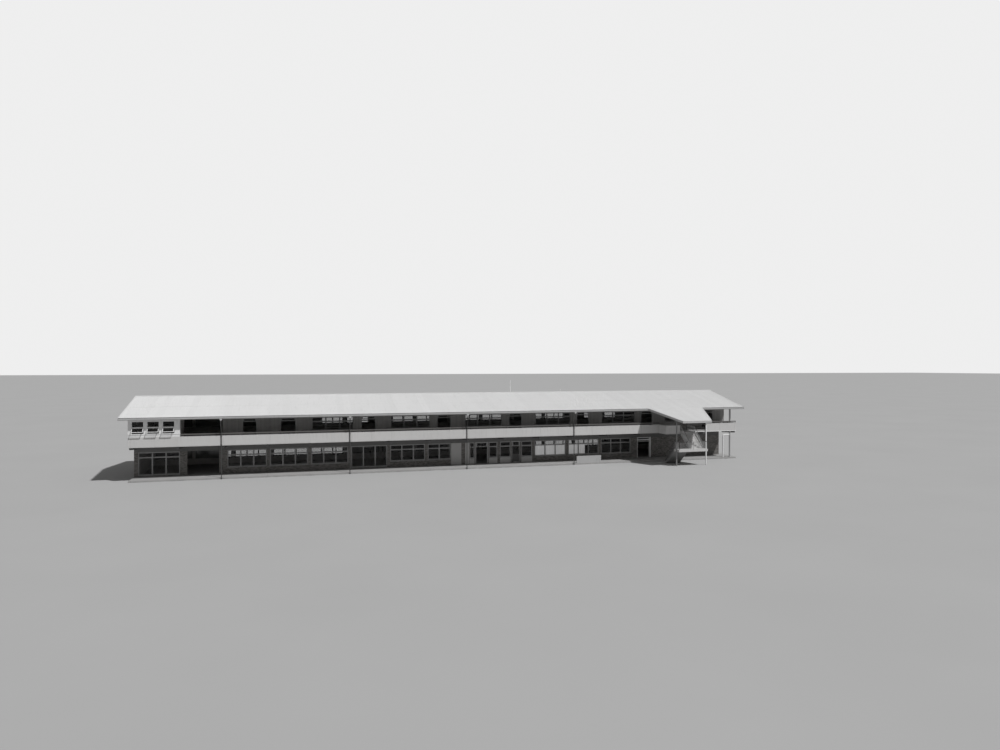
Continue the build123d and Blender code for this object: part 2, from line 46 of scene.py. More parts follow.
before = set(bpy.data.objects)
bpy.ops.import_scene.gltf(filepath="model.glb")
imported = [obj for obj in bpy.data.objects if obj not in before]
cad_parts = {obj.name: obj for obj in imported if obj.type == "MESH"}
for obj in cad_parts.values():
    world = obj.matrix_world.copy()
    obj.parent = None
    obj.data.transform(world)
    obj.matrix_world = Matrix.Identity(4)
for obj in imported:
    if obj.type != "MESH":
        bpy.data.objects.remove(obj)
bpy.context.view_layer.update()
BUILDING, LEAF = "building", "door_leaf"

# Lines read from the frame
(LEFT, _, _), (RIGHT, BAND_Y, FLOOR_0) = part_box("ground_slab")
(_, _, SLAB_LOW), (_, SLAB_Y, FLOOR_1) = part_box("upper_slab")
(_, _, CEILING), (_, CEILING_Y, _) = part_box("ceiling")
(ROOF_LEFT, _, _), (ROOF_RIGHT, EAVE_Y, RIDGE_Z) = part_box("roof_rear")
(STAIR_LEFT, _, _), (STAIR_RIGHT, _, _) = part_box("stair_landings")
STAIR_X, STAIR_ROOF = (STAIR_LEFT + STAIR_RIGHT) / 2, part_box("stair_roof")
WALL_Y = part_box("ground_ring_beams")[1].y
BAND_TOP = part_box("balustrade_rear")[1].z
RAIL_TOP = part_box("handrail_rear")[1].z
CORNER_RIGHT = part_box("corner_room_beams")[1].x

# Sizes that the solids share
BAY, BAYS = 2.286, 16
ROOF_SLOPE = 0.2194
STAIR_ROOF_FRONT_HALF = 1.0
X_WAY, Y_WAY, Z_WAY = (1.0, 0.0, 0.0), (0.0, 1.0, 0.0), (0.0, 0.0, 1.0)

# Sizes that several new pieces share: a hair's gap, the usual chamfer, the lap of two rows of sheets
HAIR, EDGE, LAP = 0.001, 0.002, 0.0035
BRICK_RELIEF, BOARD_RELIEF, SHARP_FROM = 0.004, 0.006, math.radians(35)
BASE_PLATE = [(0.022, 0), (0.022, 0.003), (0.011, 0.006), (0.01, 0.014)]


def bay_x(k):
    """Place of a bay line, counted from the left."""
    return (k - BAYS / 2) * BAY


def arithmetic(operation, swapped=False):
    """Method that adds one Math node to the finish; swapped puts its own value last."""

    def method(self, *others):
        terms = (*others, self) if swapped else (self, *others)
        return self.finish.node("ShaderNodeMath", {"operation": operation}, dict(enumerate(terms)))

    return method


class Value:
    """A node socket used in arithmetic: each operation adds one Math node to its finish."""

    __add__ = __radd__ = arithmetic("ADD")
    __mul__ = __rmul__ = arithmetic("MULTIPLY")
    __sub__, __rsub__ = arithmetic("SUBTRACT"), arithmetic("SUBTRACT", swapped=True)
    __truediv__, __mod__ = arithmetic("DIVIDE"), arithmetic("FLOORED_MODULO")
    __lt__, __gt__ = arithmetic("LESS_THAN"), arithmetic("GREATER_THAN")
    floor, power = arithmetic("FLOOR"), arithmetic("POWER")

    def __init__(self, finish, socket):
        self.finish, self.socket = finish, socket

    def between(self, low, high):
        """1 where the value lies between low and high, else 0."""
        return (self > low) * (self < high)

    def step(self, low, high):
        """Smooth rise from 0 at low to 1 at high."""
        settings = {"interpolation_type": "SMOOTHSTEP"}
        return self.finish.node("ShaderNodeMapRange", settings, {0: self, 1: low, 2: high})


class Finish:
    """A material whose changing inputs are worked out from the piece's own Object coordinates."""

    def __init__(self, name, **constants):
        self.material = bpy.data.materials.new(name)
        self.material.use_nodes = True
        self.tree = self.material.node_tree
        self.shader = self.tree.nodes["Principled BSDF"]
        for key, value in constants.items():
            self.shader.inputs[key.replace("_", " ")].default_value = value
        self.place = self.node("ShaderNodeTexCoord", {}, {}, "Object")
        split = self.node("ShaderNodeSeparateXYZ", {}, {0: self.place}).socket.node
        self.x, self.y, self.z = (Value(self, s) for s in split.outputs)

    def feed(self, socket, value):
        """Link a Value, or set a number or a colour."""
        if isinstance(value, Value):
            self.tree.links.new(value.socket, socket)
        else:
            socket.default_value = value

    def node(self, kind, settings, inputs, output=0):
        """Add a node: its settings first, then the values or links of its sockets."""
        made = self.tree.nodes.new(kind)
        for key, value in settings.items():
            setattr(made, key, value)
        for key, value in inputs.items():
            self.feed(made.inputs[key], value)
        return Value(self, made.outputs[output])

    def noise(self, scale, detail=3.0, rough=0.55, stretch=(1.0, 1.0, 1.0)):
        """Cloudy value from 0 to 1; stretch multiplies the coordinates first."""
        where = self.node("ShaderNodeVectorMath", {"operation": "MULTIPLY"}, {0: self.place, 1: stretch})
        inputs = {"Vector": where, "Scale": scale, "Detail": detail, "Roughness": rough}
        return self.node("ShaderNodeTexNoise", {}, inputs)

    def patches(self, low, high, *noise):
        """Noise as patches with soft edges: 0 where it is under low, 1 where it is over high."""
        return self.noise(*noise).step(low, high)

    def cell(self, *places):
        """Random value from 0 to 1 for each whole-number cell."""
        spots = list(places) + [0.0] * (3 - len(places))
        where = self.node("ShaderNodeCombineXYZ", {}, dict(enumerate(spots)))
        return self.node("ShaderNodeTexWhiteNoise", {}, {"Vector": where})

    def mix(self, share, one, other):
        """Colour between one and other."""
        rgb = [c if isinstance(c, Value) else tuple(c) + (1.0,) for c in (one, other)]
        settings = {"data_type": "RGBA"}
        return self.node("ShaderNodeMix", settings, {0: share, 6: rgb[0], 7: rgb[1]}, 2)

    def stain(self, tone, mask, share, level, warm=0.0):
        """The tone, moved by a share towards a grey level where the mask is 1."""
        return self.mix(mask * share, tone, grey(level, warm))

    def set(self, **inputs):
        """Feed the shader's own sockets."""
        for key, value in inputs.items():
            self.feed(self.shader.inputs[key.replace("_", " ")], value)

    def done(self, tone, height, distance):
        """Feed the colour and a bump, whose height is in metres times distance."""
        normal = self.node("ShaderNodeBump", {}, {"Height": height, "Distance": distance})
        self.set(Base_Color=tone, Normal=normal)
        return self.material


def grey(level, warm=0.0):
    """Neutral colour of a level, a little warm or cool."""
    return (level * (1 + warm), level, level * (1 - warm))


def shades(level, spread, warm=0.0):
    """A darker and a lighter colour round a level."""
    return grey(level * (1 - spread), warm), grey(level * (1 + spread), warm)


def down(stretch):
    """Stretch that makes noise run down a face."""
    return (1.0, 1.0, stretch)


def painted(name, level, rough=0.5, spread=0.08, dirt=0.25, chips=0.0):
    """Brush-painted metal or timber: cloudy tone, dust in streaks down the face, chips to the undercoat."""
    f = Finish(name)
    tone = f.mix(f.noise(1.7, 4.0), *shades(level, spread))
    tone = f.stain(tone, f.patches(0.52, 0.78, 14.0, 3.0, 0.6, down(0.12)), dirt, level * 0.45, 0.03)
    if chips:
        tone = f.stain(tone, f.patches(0.64, 0.68, 48.0, 6.0, 0.75), chips, 0.1, 0.25)
    f.set(Roughness=f.patches(0.2, 0.8, 9.0) * 0.15 + (rough - 0.07))
    return f.done(tone, f.noise(160.0, 2.0), 0.0004)


def shared(name, looks):
    """Paint that several operators use, made by the first one that asks for it."""
    recipes = {
        "white_paint": {"level": looks.white_tone, "rough": 0.42, "spread": 0.05, "dirt": 0.2, "chips": 0.2},
        "dark_steel": {"level": 0.06, "rough": 0.45, "spread": 0.2, "dirt": 0.3},
        "grey_frame": {"level": looks.trim_tone, "rough": 0.45, "chips": 0.3},
        "sash_paint": {"level": looks.trim_tone * 1.15, "rough": 0.42, "chips": 0.2},
        "pale_render": {"level": 0.42, "rough": 0.85},
    }
    known = bpy.data.materials.get(name + "_finish")
    return known or painted(name + "_finish", **recipes[name])


def concrete(name, level, joint=0.0, rough=0.85):
    """Cast concrete: blotches, pores, damp at the foot and, where joint is set, scored joints along X."""
    f = Finish(name, Roughness=rough)
    tone = f.mix(f.noise(0.9, 6.0, 0.62), *shades(level, 0.16, 0.01))
    pores = f.patches(0.62, 0.74, 90.0, 2.0, 0.5)
    tone = f.stain(tone, pores, 0.35, level * 0.55)
    damp_top, joint_w = 0.07, 0.008
    damp = (1.0 - f.z.step(0.0, damp_top)) * f.patches(0.3, 0.65, 4.0, 4.0)
    tone = f.stain(tone, damp, 0.5, level * 0.4, 0.03)
    height = f.noise(38.0, 5.0, 0.6) - pores * 0.6
    if joint:
        line = (f.x % joint) < joint_w
        tone = f.stain(tone, line, 0.7, level * 0.35)
        height = height - line * 3.0
    return f.done(tone, height, 0.0012)


def plastered(name, level):
    """Outer wall core: rough mortar outside, pale and slightly dirty plaster inside the rooms."""
    f = Finish(name, Roughness=0.85)
    skin, plaster = 0.03, 0.6
    inner = WALL_Y - skin
    indoors = (f.y * f.y < inner * inner) * f.x.between(LEFT + skin, RIGHT - skin)
    tone = f.mix(f.noise(0.9, 5.0, 0.62), *shades(level, 0.16, 0.01))
    inside = f.mix(f.patches(0.3, 0.8, 1.6, 4.0), *shades(plaster, 0.06, 0.02))
    return f.done(f.mix(indoors, tone, inside), f.noise(80.0, 4.0, 0.6), 0.0008)


def roof_finish(looks):
    """Weathered sheet: each sheet its own tone, dust streaks that run down the slope, dull spots."""
    f = Finish("roof_sheet_finish")
    level, along_slope = looks.roof_tone, (1.0, 0.08, 0.3)
    sheet = f.cell((f.x / looks.sheet_cover).floor(), f.y > 0.0)
    tone = f.mix(sheet * 0.4 + f.noise(0.55, 4.0) * 0.6, *shades(level, 0.055))
    tone = f.stain(tone, f.patches(0.52, 0.78, 9.0, 4.0, 0.62, along_slope), 0.22, level * 0.66, 0.02)
    tone = f.stain(tone, f.patches(0.68, 0.8, 2.6, 7.0, 0.7), 0.18, level * 0.45, 0.05)
    f.set(Roughness=f.patches(0.25, 0.8, 5.0) * 0.2 + 0.5)
    return f.done(tone, f.noise(60.0, 3.0), 0.0005)


def band_finish(looks):
    """Painted panel: each panel its own tone, stone grit, rain streaks from the top, dust at the foot."""
    f = Finish("band_panel_finish", Roughness=0.82)
    level, foot_h = looks.band_tone, 0.09
    panel = f.cell((f.x / (BAY / 2)).floor(), (f.y * 2.0).floor())
    tone = f.mix(panel * 0.3 + f.noise(1.1, 5.0, 0.6) * 0.7, *shades(level, 0.06, 0.01))
    streaks = f.patches(0.5, 0.74, 13.0, 4.0, 0.65, down(0.06)) * f.z.step(SLAB_LOW, BAND_TOP).power(0.6)
    tone = f.stain(tone, streaks, 0.3, level * 0.55, 0.02)
    foot = (1.0 - f.z.step(SLAB_LOW, SLAB_LOW + foot_h)) * f.patches(0.3, 0.7, 6.0)
    return f.done(f.stain(tone, foot, 0.3, level * 0.5), f.noise(150.0, 3.0, 0.7), 0.0009)


def brick_finish(looks):
    """Face brick: each brick its own tone, fired speckle, dust."""
    f = Finish("face_brick_finish", Roughness=0.86)
    level, length = looks.brick_tone, looks.brick_length
    course = (f.z / looks.brick_rise).floor()
    along = f.x + f.y + (course % 2.0) * (length / 2)
    tone = f.mix(f.cell((along / length).floor(), course), *shades(level, 0.42, 0.05))
    tone = f.stain(tone, f.patches(0.55, 0.75, 70.0, 3.0, 0.6), 0.4, level * 0.5, 0.04)
    tone = f.stain(tone, f.patches(0.4, 0.8, 0.8, 4.0), 0.3, level * 1.4, 0.02)
    return f.done(tone, f.noise(120.0, 4.0, 0.7), 0.0012)


def board_finish(name, level, pitch, spread=0.16, rough=0.6):
    """Painted boards: each board its own tone, fibres along the board."""
    f = Finish(name, Roughness=rough)
    board = f.cell(((f.x + f.y) / pitch).floor())
    tone = f.mix(board * 0.6 + f.noise(2.0, 4.0) * 0.4, *shades(level, spread, 0.02))
    tone = f.stain(tone, f.patches(0.5, 0.8, 45.0, 4.0, 0.6, down(0.08)), 0.3, level * 0.6, 0.03)
    return f.done(tone, f.noise(90.0, 3.0, 0.6, down(0.1)), 0.0006)


def timber_finish(name, level):
    """Stained rail timber: long grain along X, worn paler on top."""
    f = Finish(name, Roughness=0.62)
    grain, worn_h = f.noise(60.0, 5.0, 0.65, (0.05, 1.0, 1.0)), 0.006
    worn = f.z.step(RAIL_TOP - worn_h, RAIL_TOP) * f.patches(0.35, 0.7, 3.0)
    tone = f.mix(grain, *shades(level, 0.4, 0.04))
    return f.done(f.stain(tone, worn, 0.4, level * 2.2, 0.03), grain, 0.0008)


def post_finish(looks):
    """Stair posts: the left one coloured grey as painted shade, the right one white, both chipped."""
    f = Finish("post_paint_and_shade_finish", Roughness=0.5)
    # Painted shade: the left post, in the stair roof's shadow, gets grey where the right one gets white
    tone = f.mix(f.x > STAIR_X, grey(0.24), grey(looks.white_tone))
    tone = f.stain(tone, f.patches(0.64, 0.7, 40.0, 5.0, 0.7), 0.3, 0.12, 0.2)
    return f.done(tone, f.noise(160.0, 2.0), 0.0004)


def glass_finish(looks):
    """Window glass: dark, glossy and mostly clear, dusty in cloudy patches.

    Rear panes outside the open stretches have blinds drawn, upstairs beside the cross walls of each
    two-bay room. A few low front panes have pale curtains that glow faintly with painted light, an
    emission of their own that stands in for daylight from across the room.
    """
    f = Finish("window_glass_finish", IOR=1.5, Emission_Strength=1.0)
    dust = f.patches(0.45, 0.85, 1.3, 5.0, 0.6)
    rear, upper = f.y > 0.0, f.z > FLOOR_1
    open_ground = f.x.between(bay_x(1.8), bay_x(5.15)) + f.x.between(bay_x(10.6), bay_x(13.0))
    bay, room = f.x / BAY + BAYS / 2, 2.0
    open_upper = bay.between(looks.clear_from, looks.clear_to) * (bay % room).between(0.33, 1.67)
    blind = rear * ((1.0 - open_upper) * upper + (1.0 - open_ground) * (1.0 - upper))
    transom = FLOOR_0 + 1.05
    curtain = f.x.between(bay_x(10.02), bay_x(11.55)) * (1.0 - rear) * (f.z < transom)
    # Painted shade of folds: upright stripes darken the flat blinds and curtains where creases would be
    fold_shade = f.noise(22.0, 2.0, 0.5, down(0.05)) * 0.3 + 0.7
    pane, pane_dust, blind_tone, curtain_tone, painted_glow = 0.03, 0.12, 0.24, 0.85, 0.14
    glazing = f.mix(dust * 0.3, grey(pane), grey(pane_dust, 0.01))
    glazing = f.mix(blind * fold_shade, glazing, grey(blind_tone))
    f.set(Base_Color=f.mix(curtain * fold_shade, glazing, grey(curtain_tone)))
    # Painted light: the curtains glow with an emission of their own, standing in for daylight behind them
    f.set(Emission_Color=f.mix(curtain * fold_shade, grey(0.0), grey(painted_glow)))
    shut, density = blind + curtain, looks.glass_density
    f.set(Alpha=shut * (0.97 - density) + density + dust * (1.0 - shut) * 0.05)
    f.set(Roughness=dust * 0.1 + 0.05)
    f.material.surface_render_method = "BLENDED"
    return f.material


def rows(values):
    """Values as rows of floats."""
    return np.atleast_2d(np.asarray(values, float))


def spots(x, y, z):
    """Rows of points from three coordinates, each a number or a row of numbers."""
    return np.column_stack([np.ravel(v) for v in np.broadcast_arrays(x, y, z)])


def around(middle, half):
    """A (low, high) pair round a middle."""
    return middle - half, middle + half


def sided(side, near, far):
    """A (low, high) pair on one side of the middle: distances from it, on the side of the sign."""
    return tuple(sorted((side * near, side * far)))


def unit(vectors):
    """Vectors divided by their lengths."""
    return vectors / np.linalg.norm(vectors, axis=-1, keepdims=True)


def copies(faces, count, size):
    """Faces of count like solids, each of size points."""
    steps = np.arange(count)[:, None, None] * size
    return (faces + steps).reshape(-1, faces.shape[-1])


def tube_faces(rings, sides, count=1):
    """Quads between rings of points that follow each other, and two end caps, for count like solids."""
    i, j = np.arange(sides), np.arange(rings - 1)[:, None] * sides
    a, b = j + i, j + (i + 1) % sides
    quads = np.stack([a, b, b + sides, a + sides], -1).reshape(-1, 4)
    caps = np.stack([i[::-1], i + (rings - 1) * sides])
    return [copies(faces, count, rings * sides) for faces in (quads, caps)]


CORNERS = np.array([[i, j, k] for i in (-1, 1) for j in (-1, 1) for k in (-1, 1)])
BOX = np.array([[0, 1, 3, 2], [4, 6, 7, 5], [0, 4, 5, 1], [2, 3, 7, 6], [0, 2, 6, 4], [1, 5, 7, 3]])


def chamfered_box():
    """Signs and face axes of the 24 corners of a chamfered box, and its 6 + 12 quads and 8 triangles."""
    sign, axis = np.repeat(CORNERS, 3, axis=0), np.tile(np.arange(3), len(CORNERS))
    inner = 0.8
    points = sign * np.where(np.arange(3) == axis[:, None], 1.0, inner)
    quads, pairs = [], [(s, t) for s in (-1, 1) for t in (-1, 1)]
    for a in range(3):
        b, c = (a + 1) % 3, (a + 2) % 3
        edge = (axis == b) | (axis == c)
        quads += [np.flatnonzero((axis == a) & (sign[:, a] == s)) for s in (-1, 1)]
        quads += [np.flatnonzero(edge & (sign[:, b] == s) & (sign[:, c] == t)) for s, t in pairs]
    tris = np.arange(len(sign)).reshape(-1, 3)

    def turned(face):
        """The face's corners in order round its outward normal."""
        p = points[face]
        centre = p.mean(0)
        u = p[0] - centre
        v = np.cross(centre, u)
        turn = np.arctan2((p - centre) @ unit(v), (p - centre) @ unit(u))
        return face[np.argsort(turn)]

    return sign, axis, np.array([turned(q) for q in quads]), np.array([turned(t) for t in tris])


SIGN, AXIS, QUADS, TRIS = chamfered_box()


def blocks(low, high, chamfer=0.0):
    """Boxes between rows of low and high corners.

    A corner is centre + sign x (half size - chamfer) on two axes and the full half size on its face's axis.
    """
    low, high = rows(low), rows(high)
    centre, half = (low + high)[:, None] / 2, (high - low)[:, None] / 2
    if chamfer > 0:
        most = 0.45
        cut = np.minimum(chamfer, half.min(2, keepdims=True) * most)
        verts = centre + SIGN * (half - cut * (np.arange(3) != AXIS[:, None]))
        faces = [QUADS, TRIS]
    else:
        verts, faces = centre + CORNERS * half, [BOX]
    return verts.reshape(-1, 3), [copies(group, len(low), verts.shape[1]) for group in faces]


def spans(x, y, z, chamfer=0.0):
    """Blocks from the (low, high) pairs of three axes; a pair's ends may be numbers or rows of numbers."""
    ends = np.broadcast_arrays(*(np.atleast_1d(np.asarray(v, float)) for pair in (x, y, z) for v in pair))
    return blocks(np.column_stack(ends[0::2]), np.column_stack(ends[1::2]), chamfer)


def shell(grid, thickness):
    """Closed sheet: a grid of points (rows, columns, 3), a copy moved by thickness, and border strips."""
    count, cols = grid.shape[:2]
    index = np.arange(count * cols).reshape(count, cols)
    top = np.stack([index[:-1, :-1], index[:-1, 1:], index[1:, 1:], index[1:, :-1]], -1).reshape(-1, 4)
    under = top[:, ::-1] + count * cols
    ring = np.concatenate([index[0, :-1], index[:-1, -1], index[-1, :0:-1], index[:0:-1, 0]])
    after = np.roll(ring, -1)
    side = np.stack([after, ring, ring + count * cols, after + count * cols], -1)
    return np.concatenate([grid, grid + thickness]).reshape(-1, 3), [np.concatenate([top, under, side])]


def circle(radius, sides=12):
    """Ring of points: radius x (cos t, sin t)."""
    t = np.arange(sides) * 2 * math.pi / sides
    return radius * np.column_stack([np.cos(t), np.sin(t)])


def rounded(width, height, radius, steps=4):
    """Rectangle round the middle whose corners are quarter circles."""
    t = np.arange(4)[:, None] * math.pi / 2 + np.linspace(0, math.pi / 2, steps)
    signs = np.array([[1, 1], [-1, 1], [-1, -1], [1, -1]])[:, None]
    corner = signs * (np.array([width, height]) / 2 - radius)
    return (corner + radius * np.stack([np.cos(t), np.sin(t)], -1)).reshape(-1, 2)


def strip(points, thickness):
    """Outline of a folded sheet: a line of points, and the same line moved to its left by the thickness.

    At a fold the move is the mitre (n1 + n2) / (1 + n1 . n2) of the two normals.
    """
    p = np.asarray(points, float)
    run = unit(np.diff(p, axis=0))
    normal = np.column_stack([-run[:, 1], run[:, 0]])
    before, after = np.vstack([normal[:1], normal]), np.vstack([normal, normal[-1:]])
    mitre = (before + after) / (1 + np.sum(before * after, 1))[:, None]
    return np.concatenate([p, (p + mitre * thickness)[::-1]])


def sweep(outline, route, across):
    """Closed outline carried along a route.

    Each section stands square to its run, with its first axis along across x run and its second along
    run x first; it is then slid along the run on to the mitre plane between the two runs.
    """
    route, outline = np.asarray(route, float), np.asarray(outline, float)
    after = np.roll(outline, -1, axis=0)
    if np.sum(outline[:, 0] * after[:, 1] - outline[:, 1] * after[:, 0]) < 0:
        outline = outline[::-1]
    runs = unit(np.diff(route, axis=0))
    before, after = np.vstack([runs[:1], runs]), np.vstack([runs, runs[-1:]])
    mitre = before + after
    first = unit(np.cross(np.asarray(across), before))
    second = np.cross(before, first)
    ring = first[:, None] * outline[:, :1] + second[:, None] * outline[:, 1:]
    slide = -np.einsum("ijk,ik->ij", ring, mitre) / np.einsum("ik,ik->i", before, mitre)[:, None]
    verts = route[:, None] + ring + slide[..., None] * before[:, None]
    return verts.reshape(-1, 3), tube_faces(len(route), len(outline))


def along_x(outline, x0, x1):
    """Outline in Y and Z carried along X from x0 to x1."""
    return sweep(outline, [(x0, 0, 0), (x1, 0, 0)], Z_WAY)


def bend(route, radius, steps=6):
    """Route whose corners become quadratic curves that start and end a radius away from the corner."""
    route = np.asarray(route, float)
    corner = route[1:-1]
    start, end = (corner + unit(other - corner) * radius for other in (route[:-2], route[2:]))
    t = np.linspace(0, 1, steps)[:, None, None]
    arcs = (1 - t) ** 2 * start + 2 * t * (1 - t) * corner + t ** 2 * end
    return np.concatenate([route[:1], arcs.transpose(1, 0, 2).reshape(-1, 3), route[-1:]])


def bars(starts, ends, radius, sides=12):
    """Straight round bars: each ring is its centre + radius x (cos t u + sin t v), u and v square to it."""
    a, b = rows(starts), rows(ends)
    way = unit(b - a)
    steep = 0.9
    u = unit(np.cross(way, np.where(np.abs(way[:, 2:3]) > steep, [X_WAY], [Z_WAY])))
    v = np.cross(way, u)
    ring = circle(radius, sides)
    offset = ring[:, :1] * u[:, None] + ring[:, 1:] * v[:, None]
    verts = np.stack([a[:, None] + offset, b[:, None] + offset], 1)
    return verts.reshape(-1, 3), tube_faces(2, sides, len(a))


def uprights(x, y, low, high, radius, sides=12):
    """Upright round bars from a low to a high level."""
    return bars(spots(x, y, low), spots(x, y, high), radius, sides)


def flared(levels, centres, sides=24):
    """Solids at the centres through a ring at each level (z, a, b, p).

    The ring is (a sgn(cos t) |cos t|^p, b sgn(sin t) |sin t|^p).
    """
    z, a, b, p = np.asarray(levels, float).T[..., None]
    x, y = (half * np.sign(v) * np.abs(v) ** p for half, v in zip((a, b), circle(1.0, sides).T))
    rings = np.stack(np.broadcast_arrays(x, y, z), -1)
    centres = rows(centres)
    return (centres[:, None, None] + rings).reshape(-1, 3), tube_faces(len(levels), sides, len(centres))


def spun(levels, centres, sides=16):
    """Solids spun round upright axes at the centres, through a ring at each level (r, z)."""
    return flared([(z, r, r, 1.0) for r, z in levels], centres, sides)


def add(name, data):
    """New object of some data, linked to the scene."""
    made = bpy.data.objects.new(name, data)
    bpy.context.scene.collection.objects.link(made)
    return made


def piece(name, parts, finish, body=BUILDING, replaces=(), smooth=False):
    """Join parts, each its points and lists of faces, into one mesh object that rides on a body."""
    verts, loops, totals, shift = [], [], [], 0
    for points, groups in parts:
        verts.append(points)
        for faces in groups:
            loops.append((faces + shift).ravel())
            totals.append(np.full(len(faces), faces.shape[1]))
        shift += len(points)
    verts, loops, totals = np.concatenate(verts), np.concatenate(loops), np.concatenate(totals)
    starts = np.concatenate([[0], np.cumsum(totals)[:-1]])
    mesh = bpy.data.meshes.new(name)
    mesh.vertices.add(len(verts))
    mesh.vertices.foreach_set("co", verts.ravel().astype(np.float32))
    mesh.loops.add(len(loops))
    mesh.loops.foreach_set("vertex_index", loops.astype(np.int32))
    mesh.polygons.add(len(totals))
    mesh.polygons.foreach_set("loop_start", starts.astype(np.int32))
    mesh.update(calc_edges=True)
    mesh.validate()
    mesh.polygons.foreach_set("use_smooth", np.full(len(mesh.polygons), smooth))
    if smooth:
        mesh.set_sharp_from_angle(angle=SHARP_FROM)
    mesh.materials.append(finish)
    made = add(name, mesh)
    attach(made, body)
    if replaces:
        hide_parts(*replaces)
    return made


def paint(material, *nodes):
    """Give CAD nodes that stay their finish."""
    for node in nodes:
        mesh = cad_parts[node].data
        mesh.materials.clear()
        mesh.materials.append(material)


def solids_of(node):
    """Corner points of each separate solid of a CAD node, from the front and from the left on.

    Points at the same place are one point; labels spread over shared faces until they settle.
    """
    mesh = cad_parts[node].data
    points = np.zeros(len(mesh.vertices) * 3)
    mesh.vertices.foreach_get("co", points)
    place, same = np.unique(np.round(points.reshape(-1, 3), 5), axis=0, return_inverse=True)
    mesh.calc_loop_triangles()
    tris = np.zeros(len(mesh.loop_triangles) * 3, np.int32)
    mesh.loop_triangles.foreach_get("vertices", tris)
    tris = same.ravel()[tris.reshape(-1, 3)]
    label = np.arange(len(place))
    while True:
        least = label[tris].min(1)
        fresh = label.copy()
        for corner in range(3):
            np.minimum.at(fresh, tris[:, corner], least)
        if np.array_equal(fresh, label):
            break
        label = fresh
    found = [place[label == one] for one in np.unique(label)]
    return sorted(found, key=lambda p: (round(p[:, 1].min(), 3), p[:, 0].min(), p[:, 2].min()))


def boxes_of(*nodes):
    """Low and high corners of the separate solids of some CAD nodes."""
    found = [points for node in nodes for points in solids_of(node)]
    return np.array([p.min(0) for p in found]), np.array([p.max(0) for p in found])


def clear_lights(points):
    """Clear openings of a window frame: the X and the Z intervals between its members."""
    x, z = (np.unique(np.round(points[:, a], 4)) for a in (0, 2))
    return [(a, b, c, d) for a, b in zip(x[1::2], x[2::2]) for c, d in zip(z[1::2], z[2::2])]


def ring_of_bars(lights, width, y, chamfer=0.0):
    """Four bars inside each (x0, x1, z0, z1): two stiles of the full height, two rails between them."""
    x0, x1, z0, z1 = np.asarray(lights, float).T
    inner = (x0 + width, x1 - width)
    runs = [(x0, inner[0], z0, z1), (inner[1], x1, z0, z1),
            (*inner, z0, z0 + width), (*inner, z1 - width, z1)]
    return [spans((a, b), y, (c, d), chamfer) for a, b, c, d in runs]


def joined_spans(low, high, axis, level):
    """Joined intervals along an axis of the boxes that a level in Z crosses."""
    hit = (low[:, 2] < level) & (high[:, 2] > level)
    joined = []
    for a, b in sorted(zip(low[hit, axis], high[hit, axis])):
        if joined and a <= joined[-1][1] + HAIR:
            joined[-1][1] = max(joined[-1][1], b)
        else:
            joined.append([a, b])
    return joined


def whole(low, high, pitch):
    """Edges of the whole pitches that cover a stretch."""
    return np.arange(math.floor(low / pitch), math.ceil(high / pitch)) * pitch


def cut_to(edges, pitch, joint, start, end):
    """Whole pitches from their edges on, each less its joint, and cut to a stretch."""
    a, b = np.maximum(edges + joint / 2, start), np.minimum(edges + pitch - joint / 2, end)
    keep = b - a > joint
    return a[keep], b[keep]


def on_face(axis, along, face, depth, z, chamfer=0.0):
    """Blocks that stand depth out of a wall face: along X where the axis is 0, along Y where it is 1."""
    out = tuple(sorted((face, face + depth)))
    return spans(along, out, z, chamfer) if axis == 0 else spans(out, along, z, chamfer)


def bricks(low, high, axis, face, depth, looks):
    """Bricks in running bond over the wall boxes: courses up Z, every other one moved half a brick.

    Ends of a run cut its bricks.
    """
    length, rise, joint = looks.brick_length, looks.brick_rise, looks.mortar
    foot, top = low[:, 2].min(), high[:, 2].max()
    made = []
    for course in range(math.floor(foot / rise), math.ceil(top / rise)):
        z0, z1 = max(course * rise + joint, foot), min((course + 1) * rise, top)
        if z1 - z0 < rise / 4:
            continue
        shift = (course % 2) * length / 2
        for a, b in joined_spans(low, high, axis, (z0 + z1) / 2):
            along = cut_to(whole(a + shift, b + shift, length) - shift, length, joint, a, b)
            made.append(on_face(axis, along, face, depth, (z0, z1)))
    return made


def boards(low, high, axis, face, depth, looks):
    """Upright boards over the wall boxes, in whole pitches along the wall, each cut to its box."""
    pitch, made = looks.board_pitch, []
    for lo, hi in zip(low, high):
        along = cut_to(whole(lo[axis], hi[axis], pitch), pitch, looks.board_joint, lo[axis], hi[axis])
        if len(along[0]):
            made.append(on_face(axis, along, face, depth, (lo[2], hi[2]), looks.board_edge))
    return made


def clad_sides(storey, make, depth, finish, looks, kept=True):
    """Bricks or boards on the front and the rear of a storey, one piece a face."""
    low, high = boxes_of(storey + "_piers", storey + "_sill_walls")
    for side, name in ((-1, "front"), (1, "rear")):
        here = (low[:, 1] * side > 0) & kept
        made = make(low[here], high[here], 0, side * WALL_Y, side * depth, looks)
        piece(f"{storey}_{make.__name__}_{name}", made, finish)


def clad_ends(storey, make, depth, finish, looks):
    """Bricks or boards on the two ends of a storey, one piece a face."""
    low, high = boxes_of(storey + "_end_walls")
    low[:, 1], high[:, 1] = -WALL_Y, WALL_Y
    for side, name, face in ((-1, "left", low[:, 0].min()), (1, "right", high[:, 0].max())):
        here = low[:, 0] * side > 0
        made = make(low[here], high[here], 1, face, side * depth, looks)
        piece(f"{storey}_{make.__name__}_{name}", made, finish)


def roof_height(x, y, looks, gap=LAP):
    """Top of the sheets, where s is how far x lies across its sheet, from 0 to 1.

    ridge - slope |y| - gap + depth / 2 (cos(2 pi x / pitch) - 1) + lap (s - 1)
    """
    wave = looks.wave_depth / 2 * (np.cos(2 * math.pi * x / looks.wave_pitch) - 1)
    ramp = looks.sheet_lap * ((x / looks.sheet_cover) % 1.0 - 1)
    return RIDGE_Z - ROOF_SLOPE * np.abs(y) - gap + wave + ramp


